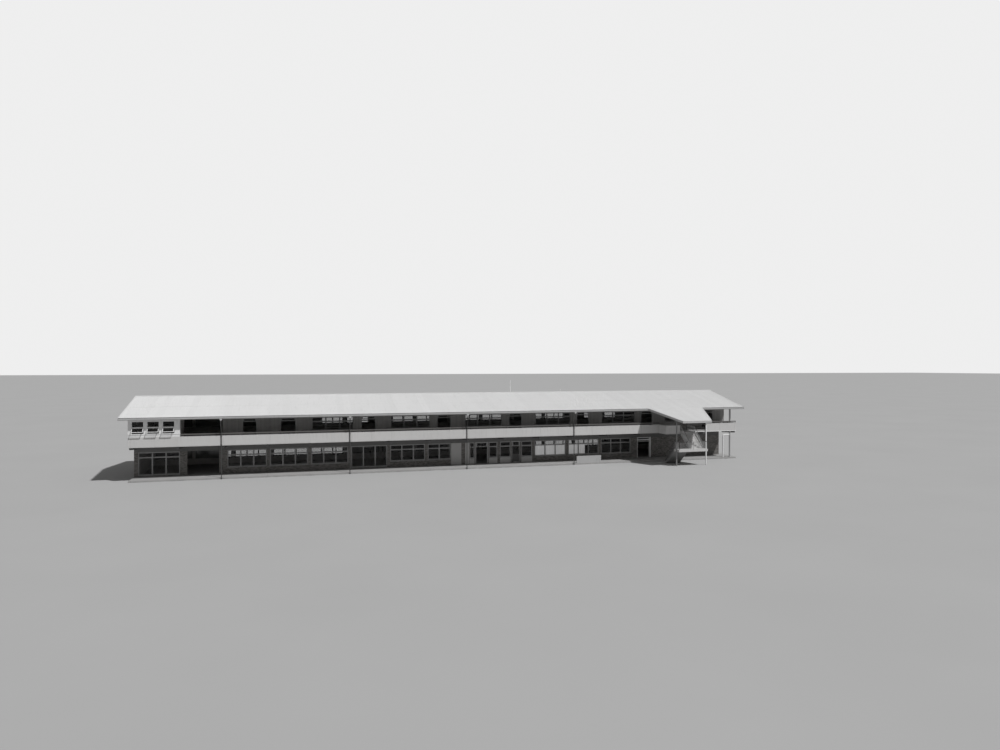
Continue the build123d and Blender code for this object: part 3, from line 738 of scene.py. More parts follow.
def stair_roof_half(y):
    """Half width of the stair roof: it narrows from the eave to its front edge."""
    back_half = (STAIR_ROOF[1].x - STAIR_ROOF[0].x) / 2
    return np.interp(y, [STAIR_ROOF[0].y, -EAVE_Y], [STAIR_ROOF_FRONT_HALF, back_half])


LENGTH = {"unit": "LENGTH"}
FACTOR = {"min": 0.0, "max": 1.0, "subtype": "FACTOR"}


class SchoolLooks(bpy.types.PropertyGroup):
    """Sizes and tones that a user would change."""

    wave_pitch: FloatProperty(
        name="Wave pitch", description="Corrugation pitch of the roof sheets", default=0.038, **LENGTH)
    wave_depth: FloatProperty(
        name="Wave depth", description="Height of a corrugation", default=0.0085, **LENGTH)
    sheet_cover: FloatProperty(
        name="Sheet cover", description="Width that one roof sheet covers", default=0.38, **LENGTH)
    sheet_lap: FloatProperty(
        name="Sheet lap", description="Rise of a sheet over its neighbour", default=0.0012, **LENGTH)
    panel_joint: FloatProperty(
        name="Panel joint", description="Gap between band panels", default=0.004, **LENGTH)
    brick_length: FloatProperty(
        name="Brick length", description="One brick with its joint", default=0.12, **LENGTH)
    brick_rise: FloatProperty(
        name="Brick rise", description="One course with its joint", default=0.043, **LENGTH)
    mortar: FloatProperty(
        name="Mortar", description="Joint width", default=0.005, **LENGTH)
    board_pitch: FloatProperty(
        name="Board pitch", description="Width of a wall board with its joint", default=0.075, **LENGTH)
    board_joint: FloatProperty(
        name="Board joint", description="Open part of a board joint", default=0.003, **LENGTH)
    board_edge: FloatProperty(
        name="Board edge", description="Chamfer of a wall board", default=0.002, **LENGTH)
    roof_tone: FloatProperty(
        name="Roof tone", description="Grey of the roof sheets", default=0.73, **FACTOR)
    band_tone: FloatProperty(
        name="Band tone", description="Grey of the band", default=0.57, **FACTOR)
    brick_tone: FloatProperty(
        name="Brick tone", description="Grey of the brick", default=0.16, **FACTOR)
    wall_tone: FloatProperty(
        name="Wall tone", description="Grey of the wall boards", default=0.34, **FACTOR)
    trim_tone: FloatProperty(
        name="Trim tone", description="Grey of window frames", default=0.34, **FACTOR)
    white_tone: FloatProperty(
        name="White tone", description="Level of white paint", default=0.78, **FACTOR)
    glass_density: FloatProperty(
        name="Glass density", description="How much of the view a clear pane hides", default=0.16, **FACTOR)
    clear_from: FloatProperty(
        name="Clear from bay", description="Bay line where the upper rear blinds end", default=3.9)
    clear_to: FloatProperty(
        name="Clear to bay", description="Bay line where they start again", default=13.4)


class SCHOOL_OT_roof(bpy.types.Operator):
    """Corrugated sheets on both slopes and on the stair roof"""

    bl_idname = "school.roof"
    bl_label = "Roof sheets"

    def execute(self, context):
        looks = context.scene.school_looks
        finish, samples, thickness = roof_finish(looks), 6, (0.0, 0.0, -0.0025)
        x = np.arange(ROOF_LEFT, ROOF_RIGHT, looks.wave_pitch / samples)
        middle, cover = EAVE_Y * 0.52, 0.06
        lengths = ((EAVE_Y - EDGE, middle, 0.0), (middle + cover, 2 * EDGE, LAP))
        for side, name in ((-1, "front"), (1, "rear")):
            parts = []
            for y_from, y_to, lift in lengths:
                gx, gy = np.meshgrid(x, np.array([y_from, y_to]) * side)
                grid = np.stack([gx, gy, roof_height(gx, gy, looks) + lift], -1)
                parts.append(shell(grid[::-side], thickness))
            piece("roof_sheets_" + name, parts, finish, replaces=("roof_" + name,))
        overlap = 0.04
        y = np.array([STAIR_ROOF[0].y + EDGE, -EAVE_Y + overlap])
        across = np.linspace(-1, 1, int(2 * stair_roof_half(-EAVE_Y) / looks.wave_pitch * samples))
        gx = STAIR_X + stair_roof_half(y)[:, None] * across
        gy = np.repeat(y[:, None], len(across), 1)
        sheets = shell(np.stack([gx, gy, roof_height(gx, gy, looks, 2 * LAP)], -1), thickness)
        piece("stair_roof_sheets", [sheets], finish, replaces=("stair_roof",))
        return {"FINISHED"}


class SCHOOL_OT_ridge(bpy.types.Operator):
    """Rolled ridge in overlapping lengths, folded verges and roof screws"""

    bl_idname = "school.ridge"
    bl_label = "Ridge, verges and screws"

    def execute(self, context):
        looks = context.scene.school_looks
        sheet = painted("ridge_metal_finish", looks.roof_tone * 0.92, 0.5, 0.06, 0.2)
        wing, roll, roll_z, turn_down, thin = 0.085, 0.0115, 0.007, 0.0055, 0.0016
        t = np.linspace(math.radians(215), math.radians(-35), 9)
        top = np.column_stack([roll * np.cos(t), roll_z + roll * np.sin(t)])
        wing_z = -wing * ROOF_SLOPE + 0.0015
        foot = np.array([[-wing, wing_z - turn_down], [-wing, wing_z]])
        line = np.concatenate([foot, top, foot[::-1] * [-1, 1]])
        outline = strip(line, thin) + [0.0, RIDGE_Z]
        length, cover = 0.9, 0.02
        parts = []
        for i in range(math.ceil((ROOF_RIGHT - ROOF_LEFT) / length)):
            x = ROOF_LEFT + i * length
            parts.append(along_x(outline + [0.0, thin * (i % 2)], x, min(x + length + cover, ROOF_RIGHT)))
        piece("ridge_roll", parts, sheet, replaces=("ridge_capping",), smooth=True)

        flange, leg, inset = 0.05, 0.045, 0.003
        parts = []
        for x, inward in ((ROOF_LEFT + inset, 1), (ROOF_RIGHT - inset, -1)):
            route = [(x, y, RIDGE_Z - ROOF_SLOPE * abs(y)) for y in (-EAVE_Y + inset, 0.0, EAVE_Y - inset)]
            fold = [(HAIR, inward * flange), (HAIR, 0.0), (-leg, 0.0)]
            parts.append(sweep(strip(fold, thin), route, X_WAY))
        for side in (-1, 1):
            route = [(STAIR_X + side * (stair_roof_half(y) - inset), y, RIDGE_Z + ROOF_SLOPE * y)
                     for y in (-EAVE_Y - flange, STAIR_ROOF[0].y + inset)]
            fold = [(-side * flange, 0.0), (0.0, 0.0), (0.0, -leg)]
            parts.append(sweep(strip(fold, thin), route, Z_WAY))
        piece("verge_flashings", parts, sheet)
        paint(painted("verge_board_finish", 0.5, 0.5, dirt=0.3), "barge_boards", "stair_roof_fascia")

        every, radius, height, sunk, second_row = 3, 0.0065, 0.0035, 0.001, EAVE_Y * 0.53
        pitch = looks.wave_pitch
        x = np.arange(math.ceil(ROOF_LEFT / pitch) + 2, ROOF_RIGHT / pitch - 2, every) * pitch
        purlins = np.array([0.12, 0.95, 1.75, 2.36, 3.1, 3.85, 4.42])
        gx, gy = (g.ravel() for g in np.meshgrid(x, np.concatenate([-purlins, purlins])))
        places = [spots(gx, gy, roof_height(gx, gy, looks) + LAP * (np.abs(gy) < second_row))]
        stair_purlins, stair_gap = (-4.95, -5.75, -6.55, -7.33), 0.0055
        for y in stair_purlins:
            own = x[np.abs(x - STAIR_X) < stair_roof_half(y) - flange]
            places.append(spots(own, y, roof_height(own, y, looks, stair_gap)))
        head = [(radius, -sunk), (radius, height * 0.4), (radius * 0.5, height)]
        heads = spun(head, np.concatenate(places), 6)
        piece("roof_screws", [heads], painted("screw_zinc_finish", 0.5, 0.4))
        return {"FINISHED"}


class SCHOOL_OT_gutters(bpy.types.Operator):
    """Folded gutters on fascia boards, rainwater heads and round downpipes with clips"""

    bl_idname = "school.gutters"
    bl_label = "Gutters and downpipes"

    def execute(self, context):
        looks = context.scene.school_looks
        self.trough(painted("gutter_paint_finish", 0.45, 0.5, 0.1, 0.35, 0.15))

        low, high = boxes_of("rainwater_heads")
        (half, _, _), foot, top = (high - low)[0] / 2, low[0, 2], high[0, 2]
        neck, lip, lip_h = 0.028, 0.005, 0.016
        levels = [(foot - 0.008, neck, neck, 1.0), (foot + 0.012, 0.03, 0.03, 0.9),
                  (foot + 0.02, 0.036, 0.036, 0.7), (foot + 0.058, half - lip, half - lip, 0.4),
                  (top - lip_h - 0.002, half - 0.004, half - 0.004, 0.35), (top - lip_h, half, half, 0.3),
                  (top, half, half, 0.3)]
        heads = [flared(levels, (x, y, 0)) for x, y in (low + high)[:, :2] / 2]
        piece("flared_heads", heads, shared("white_paint", looks),
              replaces=("rainwater_heads",), smooth=True)

        low, high = boxes_of("downpipes")
        parts = []
        for x, side in zip((low[:, 0] + high[:, 0]) / 2, np.sign(low[:, 1])):
            parts += self.downpipe(x, side, foot + 0.005)
        piece("round_downpipes", parts, shared("dark_steel", looks),
              replaces=("downpipes",), smooth=True)
        return {"FINISHED"}

    def trough(self, gutter_paint):
        """Gutters with a rolled lip, closed ends and straps, in front of fascia boards in lengths."""
        thin, back, face, bead = 0.003, EAVE_Y - 0.113, EAVE_Y - 0.0045, 0.007
        sole, lip = CEILING + 0.005, CEILING + 0.106
        t = np.linspace(0, math.radians(230), 9)
        curl = np.column_stack([face - bead + bead * np.cos(t), lip + bead * np.sin(t)])
        section = [(back, lip + 0.012), (back, sole), (face - 0.018, sole), (face, sole + 0.027)]
        outline = strip(np.concatenate([section, curl]), thin)
        strap_every, strap_half, board, board_gap = 0.6, 0.006, 2.7, 0.002
        strap_z = (lip + 0.004, lip + 0.007)
        board_z = (CEILING + HAIR, RIDGE_Z - ROOF_SLOPE * back - 0.014)
        parts, timber = [], []
        for (x0, _, _), (x1, y1, _) in zip(*boxes_of("gutters")):
            side = 1 if y1 > 0 else -1
            parts.append(along_x(outline * [side, 1], x0, x1))
            ends = (np.array([x0, x1 - thin]), np.array([x0 + thin, x1]))
            parts.append(spans(ends, sided(side, back, face), (sole, lip)))
            x = np.arange(x0 + strap_every / 2, x1, strap_every)
            parts.append(spans(around(x, strap_half), sided(side, back, face - bead), strap_z))
            a = np.arange(x0, x1, board)
            timber.append(spans((a, np.minimum(a + board - board_gap, x1)),
                                sided(side, CEILING_Y + HAIR, back - HAIR), board_z, EDGE))
        piece("folded_gutters", parts, gutter_paint, replaces=("gutters",))
        fascia = board_finish("fascia_board_finish", 0.42, board, 0.08)
        piece("fascia_boards", timber, fascia)

    def downpipe(self, x, side, top):
        """Pipe that drops from its head, kicks back to the band and runs down it, with sockets and clips."""
        radius, kick, drop, corner = 0.0245, CEILING - 0.42, 0.33, 0.07
        wall_y, out_y, band = BAND_Y + 0.033, EAVE_Y - 0.065, BAND_Y + 0.006
        route = [(x, side * out_y, top), (x, side * out_y, kick), (x, side * wall_y, kick - drop),
                 (x, side * wall_y, 0.0)]
        parts = [sweep(circle(radius, 16), bend(route, corner), X_WAY)]
        socket_h, socket_r = 0.045, radius + 0.004
        for z, y in ((kick + 0.15, out_y), (SLAB_LOW - 0.12, wall_y), (0.9, wall_y), (0.012, wall_y)):
            parts.append(uprights(x, side * y, z, z + socket_h, socket_r, 16))
        clip_half, clip_h, clip_r = 0.034, 0.03, radius + 0.0035
        bolt_x, bolt_r, bolt_len = 0.029, 0.004, 0.004
        for z in (BAND_TOP - 0.06, SLAB_LOW + 0.03):
            parts.append(spans(around(x, clip_half), sided(side, BAND_Y, band), (z, z + clip_h), HAIR))
            parts.append(uprights(x, side * wall_y, z + 0.004, z + 0.026, clip_r, 16))
            for dx in (-bolt_x, bolt_x):
                bolt = np.array([x + dx, side * band, z + clip_h / 2])
                parts.append(bars(bolt, bolt + [0, side * bolt_len, 0], bolt_r, 6))
        return parts


class SCHOOL_OT_band(bpy.types.Operator):
    """Band panels with their backing, capping and slab edge trims"""

    bl_idname = "school.band"
    bl_label = "Band"

    def execute(self, context):
        looks = context.scene.school_looks
        finish = band_finish(looks)
        recess, edge, least, cap_rise, cap_out = 0.008, 0.004, 0.05, 0.008, 0.003
        inner, panel = np.array([recess / 2, recess, recess]), BAY / 2
        caps = []
        for node in ("balustrade_front", "balustrade_rear"):
            parts = []
            for lo, hi in zip(*boxes_of(node)):
                a, b = cut_to(whole(lo[0], hi[0], panel), panel, looks.panel_joint, lo[0], hi[0])
                keep = b - a > least
                parts.append(spans((a[keep], b[keep]), (lo[1], hi[1]), (lo[2], hi[2]), edge))
                parts.append(blocks(lo + inner, hi - inner))
                start = CORNER_RIGHT if hi[1] < 0 and lo[0] < CORNER_RIGHT else lo[0]
                caps.append(spans((start, hi[0]), (lo[1] - cap_out, hi[1] + cap_out),
                                  (hi[2], hi[2] + cap_rise), EDGE))
            piece(node + "_panels", parts, finish, replaces=(node,))
        for lo, hi in zip(*boxes_of("balustrade_ends", "stair_guards")):
            foot, grow = np.append(lo[:2], hi[2]), np.array([cap_out, cap_out, 0.0])
            caps.append(blocks(foot - grow, hi + grow + [0, 0, cap_rise], EDGE))
        metal = painted("capping_metal_finish", looks.band_tone * 0.8, 0.45)
        piece("band_capping", caps, metal)
        paint(finish, "balustrade_ends", "stair_guards")
        open_end = boxes_of("balustrade_front")[0][1, 0]
        trim_z, proud = (SLAB_LOW, SLAB_LOW + 0.045), 0.006
        runs = [((open_end, RIGHT - HAIR), BAND_Y), ((STAIR_RIGHT, open_end), SLAB_Y)]
        parts = [spans(x, sided(-1, y, y + proud), trim_z, HAIR) for x, y in runs]
        piece("slab_edge_trim", parts, shared("white_paint", looks))
        return {"FINISHED"}


class SCHOOL_OT_rails(bpy.types.Operator):
    """Rounded handrails on round stubs, and the open railing beside the stair"""

    bl_idname = "school.rails"
    bl_label = "Handrails"

    def execute(self, context):
        looks = context.scene.school_looks
        timber, steel = timber_finish("rail_timber_finish", 0.11), shared("dark_steel", looks)
        width, height, corner, stub_r, step = 0.04, 0.068, 0.012, 0.009, BAY / 2
        end_gap, plate, screw_x, thin = 0.01, 0.026, 0.019, 0.004
        base_half, head_half, head_thin = 0.018, 0.014, 0.003
        screw = [(0.004, 0), (0.004, 0.003), (0.002, 0.0045)]
        section = rounded(width, height, corner)
        foot, base = RAIL_TOP - height, BAND_TOP + 0.012
        stubs, plates = [], []
        for node in ("handrail_front", "handrail_rear"):
            rails = []
            for lo, hi in zip(*boxes_of(node)):
                y = (lo[1] + hi[1]) / 2
                rails.append(along_x(section + [y, RAIL_TOP - height / 2], lo[0], hi[0]))
                count = max(2, int((hi[0] - lo[0]) / step) + 1)
                x = np.linspace(lo[0] + end_gap, hi[0] - end_gap, count)
                stubs.append(uprights(x, y, BAND_TOP, foot, stub_r))
                x = np.clip(x, lo[0] + plate, hi[0] - plate)
                plates.append(spans(around(x, plate), around(y, base_half), (base - thin, base), HAIR))
                plates.append(spans(around(x, plate), around(y, head_half),
                                    (foot - head_thin, foot), HAIR / 2))
                plates += [spun(screw, spots(x + dx, y, base), 6) for dx in (-screw_x, screw_x)]
            piece(node.replace("handrail", "rounded_rail"), rails, timber,
                  replaces=(node,), smooth=True)
        piece("rail_stubs", stubs + plates, steel)

        lo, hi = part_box("open_railing")
        top_r, post_r, bar_r, posts, rows_up = 0.011, 0.009, 0.007, 4, 3
        y, top = (lo.y + hi.y) / 2, RAIL_TOP - top_r
        x = np.linspace(lo.x + 2 * top_r, hi.x - 2 * top_r, posts)
        parts = [bars((lo.x, y, top), (hi.x, y, top), top_r, 14), uprights(x, y, FLOOR_1, top, post_r),
                 spun(BASE_PLATE, spots(x, y, FLOOR_1))]
        for i in range(1, rows_up):
            z = FLOOR_1 + (top - FLOOR_1) * i / rows_up
            parts.append(bars((lo.x + top_r, y, z), (hi.x - top_r, y, z), bar_r))
        piece("round_open_railing", parts, steel, replaces=("open_railing",), smooth=True)
        return {"FINISHED"}


class SCHOOL_OT_walls(bpy.types.Operator):
    """Face brick and rendered panels on the ground storey, upright boards on the upper storey"""

    bl_idname = "school.walls"
    bl_label = "Walls"

    def execute(self, context):
        looks = context.scene.school_looks
        low, high = boxes_of("ground_piers", "ground_sill_walls")
        render_from, render_to, sill_top = bay_x(8.1), bay_x(10.05), FLOOR_0 + 0.6
        rendered = (high[:, 1] < 0) & (high[:, 2] < sill_top)
        rendered &= (low[:, 0] > render_from) & (high[:, 0] < render_to)
        face_brick = (bricks, BRICK_RELIEF, brick_finish(looks), looks)
        clad_sides("ground", *face_brick, ~rendered)
        panels = [spans((lo[0], hi[0]), sided(-1, WALL_Y, WALL_Y + BRICK_RELIEF * 1.5), (lo[2], hi[2]), EDGE)
                  for lo, hi in zip(low[rendered], high[rendered])]
        reveal = 0.004
        head = high[high[:, 2] > sill_top][:, 2].min() - reveal
        out = sided(-1, WALL_Y + BRICK_RELIEF, WALL_Y + BRICK_RELIEF * 2.5)
        for bays in ((7.67, 7.95), (8.06, 8.17)):
            panels.append(spans([bay_x(k) for k in bays], out, (FLOOR_0 + reveal, head), EDGE))
        piece("rendered_panels", panels, concrete("panel_render_finish", 0.48))
        clad_ends("ground", *face_brick)

        wall = board_finish("wall_board_finish", looks.wall_tone, looks.board_pitch)
        for clad in (clad_sides, clad_ends):
            clad("upper", boards, BOARD_RELIEF, wall, looks)
        low, high = boxes_of("corner_room_side_walls")
        closing_y = (-SLAB_Y, low[0, 1] - HAIR / 2)
        parts = [spans((low[:, 0] + HAIR, high[:, 0] - HAIR), closing_y, (FLOOR_1, BAND_TOP - HAIR / 2))]
        high[:, 2] = CEILING - EDGE
        for i, side, face in ((0, -1, low[0, 0]), (-1, 1, high[-1, 0])):
            parts += boards(low[[i]], high[[i]], 1, face, side * BOARD_RELIEF, looks)
        piece("corner_room_boards", parts, wall)
        self.gables()

        paint(plastered("mortar_finish", looks.brick_tone * 1.8),
              "ground_piers", "ground_sill_walls", "ground_end_walls")
        paint(plastered("wall_core_finish", looks.wall_tone * 0.8),
              "upper_piers", "upper_sill_walls", "upper_end_walls", "corner_room_side_walls")
        paint(plastered("ground_beam_finish", looks.brick_tone), "ground_ring_beams")
        paint(plastered("upper_beam_finish", looks.wall_tone), "upper_ring_beams")
        paint(shared("pale_render", looks), "low_front_wall", "end_columns")
        return {"FINISHED"}

    def gables(self):
        """Cover battens on the boards of the gables, each as high as the roof allows."""
        paint(board_finish("gable_board_finish", 0.3, 0.1), "gable_infills")
        parts, pitch, half, thick, under_roof = [], 0.1, 0.012, 0.008, 0.03
        low, high = boxes_of("gable_infills")
        for (x0, y0, z0), (x1, y1, _), side in zip(low, high, np.sign(low[:, 0])):
            y = np.arange(math.ceil(y0 / pitch), y1 / pitch) * pitch
            top = RIDGE_Z - ROOF_SLOPE * (np.abs(y) + pitch / 4) - under_roof
            z, face = (z0, np.maximum(top, z0 + half)), x0 if side < 0 else x1
            parts.append(on_face(1, around(y, half), face, side * thick, z, EDGE))
        piece("gable_battens", parts, board_finish("gable_batten_finish", 0.34, pitch))


class SCHOOL_OT_windows(bpy.types.Operator):
    """Sashes with putty beads and catches inside the frames, sloping sills, and the glass"""

    bl_idname = "school.windows"
    bl_label = "Windows"

    def execute(self, context):
        looks = context.scene.school_looks
        putty, steel = painted("putty_finish", looks.trim_tone * 0.7, 0.8), shared("dark_steel", looks)
        paint(shared("grey_frame", looks), "ground_window_frames", "upper_window_frames")
        paint(glass_finish(looks), "ground_glass", "upper_glass", "corner_room_glass", "ground_door_glass")
        setback, sash_w, sash_t, sash_edge, bead, low_light = 0.012, 0.018, 0.03, 0.003, 0.006, 0.9
        catch_half, catch_out, catch_h, catch_edge = 0.014, 0.006, 0.004, 0.0015
        sill_out, sill_drop, proud = 0.024, 0.02, 0.004
        for storey, floor in (("ground", FLOOR_0), ("upper", FLOOR_1)):
            sashes, beads, catches, sills = [], [], [], []
            for points in solids_of(storey + "_window_frames"):
                side, face = np.sign(points[:, 1].mean()), np.abs(points[:, 1]).max()
                lights, front = clear_lights(points), face - setback
                sashes += ring_of_bars(lights, sash_w, sided(side, front, front - sash_t), sash_edge)
                panes = np.asarray(lights) + sash_w * np.array([1, -1, 1, -1])
                beads += ring_of_bars(panes, bead, sided(side, front - bead, front - 3 * bead))
                low = panes[panes[:, 2] < floor + low_light]
                if len(low):
                    x, z = (low[:, 0] + low[:, 1]) / 2, low[:, 3] + sash_w / 2
                    catches.append(spans(around(x, catch_half), sided(side, front, front + catch_out),
                                         around(z, catch_h), catch_edge))
                (x0, _, foot), x1 = points.min(0), points[:, 0].max()
                if foot < floor + low_light:
                    wedge = [(face, foot + proud), (WALL_Y + sill_out, foot - proud),
                             (WALL_Y + sill_out, foot - sill_drop), (face, foot - sill_drop)]
                    sills.append(along_x(np.array(wedge) * [side, 1], x0, x1))
            sill_paint = painted(storey + "_sill_finish", looks.trim_tone * 1.2, 0.6)
            piece(storey + "_sashes", sashes, shared("sash_paint", looks))
            piece(storey + "_putty", beads, putty)
            piece(storey + "_catches", catches, steel)
            piece(storey + "_sills", sills, sill_paint)
        return {"FINISHED"}


class SCHOOL_OT_corner(bpy.types.Operator):
    """White corner room: beads, stays of the open sashes, and sill nosing"""

    bl_idname = "school.corner"
    bl_label = "Corner room"

    def execute(self, context):
        looks = context.scene.school_looks
        white = shared("white_paint", looks)
        paint(white, "corner_room_posts", "corner_room_beams", "corner_room_frames", "corner_room_sashes")
        beads, stays = [], []
        under_head, bead, bead_from, bead_to, bead_edge = 0.05, 0.014, 0.02, 0.05, 0.003
        in_by, up_by, hinge_up, stay_r = 0.012, 0.03, 0.02, 0.004
        for points, lo, hi in zip(solids_of("corner_room_frames"), *boxes_of("corner_room_sashes")):
            face = points[:, 1].min()
            upper = [light for light in clear_lights(points) if light[2] > hi[2] - under_head]
            beads += ring_of_bars(upper, bead, (face + bead_from, face + bead_to), bead_edge)
            for x in (lo[0] + in_by, hi[0] - in_by):
                hinge, sash = (x, face + up_by, lo[2] + hinge_up), (x, lo[1] + up_by, lo[2] + up_by)
                stays.append(bars(hinge, sash, stay_r, 8))
        piece("corner_room_beads", beads, white)
        piece("sash_stays", stays, shared("dark_steel", looks), smooth=True)
        top = boxes_of("corner_room_beams")[1][:, 2].min()
        back, front, foot = -BAND_Y + 0.03, -BAND_Y - 0.02, top - 0.016
        nose = [(back, top + 0.004), (front, top - 0.003), (front, foot), (back, foot)]
        piece("corner_room_sill", [along_x(nose, LEFT, CORNER_RIGHT)], white)
        return {"FINISHED"}


class SCHOOL_OT_doors(bpy.types.Operator):
    """Finish and fittings of the hinged door, casings and steps of the doorways"""

    bl_idname = "school.doors"
    bl_label = "Doors"

    def execute(self, context):
        looks = context.scene.school_looks
        paint(shared("dark_steel", looks), "ground_door_hinges")
        paint(shared("grey_frame", looks), "ground_door_jambs", "upper_door_jambs")
        self.leaf()
        thick, half, head_h, head_over, leaf_top, bar = 0.008, 0.016, 0.03, 0.01, 1.15, 0.075
        post, step_back, step_out, step_in, step_h = 0.09, 0.1, 0.015, 0.04, 0.004
        casings, white_casings, steps = [], [], []
        for node, floor in (("ground_door_jambs", FLOOR_0), ("upper_door_jambs", FLOOR_1)):
            low, high = boxes_of(node)
            for i in range(0, len(low), 2):
                a, b, top, side = low[i, 0], high[i + 1, 0], high[i, 2], np.sign(low[i, 1])
                proud = sided(side, WALL_Y, WALL_Y + thick)
                ground_front = side < 0 and floor == FLOOR_0
                framed = ground_front and a > bay_x(13)
                hinged = ground_front and bay_x(9) < a < bay_x(10)
                into = white_casings if framed else casings
                if not hinged:
                    into += [spans(around(x, half), proud, (floor, top - head_h), EDGE) for x in (a, b)]
                if framed:
                    outer, bar_z = sided(side, WALL_Y + thick, WALL_Y + 2 * thick), floor + leaf_top
                    into.append(spans((a - 2 * half, b + half), outer, (bar_z, bar_z + bar), EDGE))
                    into.append(spans((b + half, b + post), outer, (floor, top + 2 * head_over), EDGE))
                into.append(spans((a - 2 * half, b + 2 * half), proud, (top - head_h, top + head_over), EDGE))
                across, out = (a + step_in, b - step_in), sided(side, WALL_Y - step_back, WALL_Y + step_out)
                steps.append(spans(across, out, (floor, floor + step_h), HAIR))
        piece("doorway_casings", casings, shared("sash_paint", looks))
        piece("white_doorway_casing", white_casings, shared("white_paint", looks))
        piece("door_steps", steps, concrete("door_step_finish", 0.4))
        return {"FINISHED"}

    def leaf(self):
        """Kick plate, handle plate and beads of the hinged leaf, which ride on it."""
        leaf_paint = board_finish("door_paint_finish", 0.08, 0.06, 0.12, 0.45)
        paint(leaf_paint, "ground_door")
        low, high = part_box("ground_door_glass")
        stile, face, foot = 0.05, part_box("ground_window_frames")[0].y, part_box("ground_door")[0].z
        x0, x1, rail = low.x - stile, high.x + stile, 0.07
        plate, kick_left, kick_right, kick_low, kick_high = 0.0015, 0.06, 0.02, 0.006, 0.044
        handle_half, handle_under, handle_over = 0.014, 0.075, 0.005
        out = (face - plate, face)
        parts = [spans((x0 + kick_left, x1 - kick_right), out, (foot + kick_low, foot + kick_high), HAIR / 2),
                 spans(around(x1 - stile / 2, handle_half), out,
                       (low.z - handle_under, low.z + handle_over), HAIR / 2)]
        piece("door_plates", parts, painted("door_metal_finish", 0.4, 0.3), body=LEAF)
        glazed, panel = (low.x, high.x, low.z, high.z), (low.x, high.x, foot + stile, low.z - rail)
        bead, wide_bead, bead_out = 0.007, 0.008, 0.006
        parts = ring_of_bars([glazed], bead, (face + HAIR, face + HAIR + bead), HAIR)
        parts += ring_of_bars([panel], wide_bead, (face + HAIR, face + bead_out), HAIR)
        piece("door_beads", parts, leaf_paint, body=LEAF)


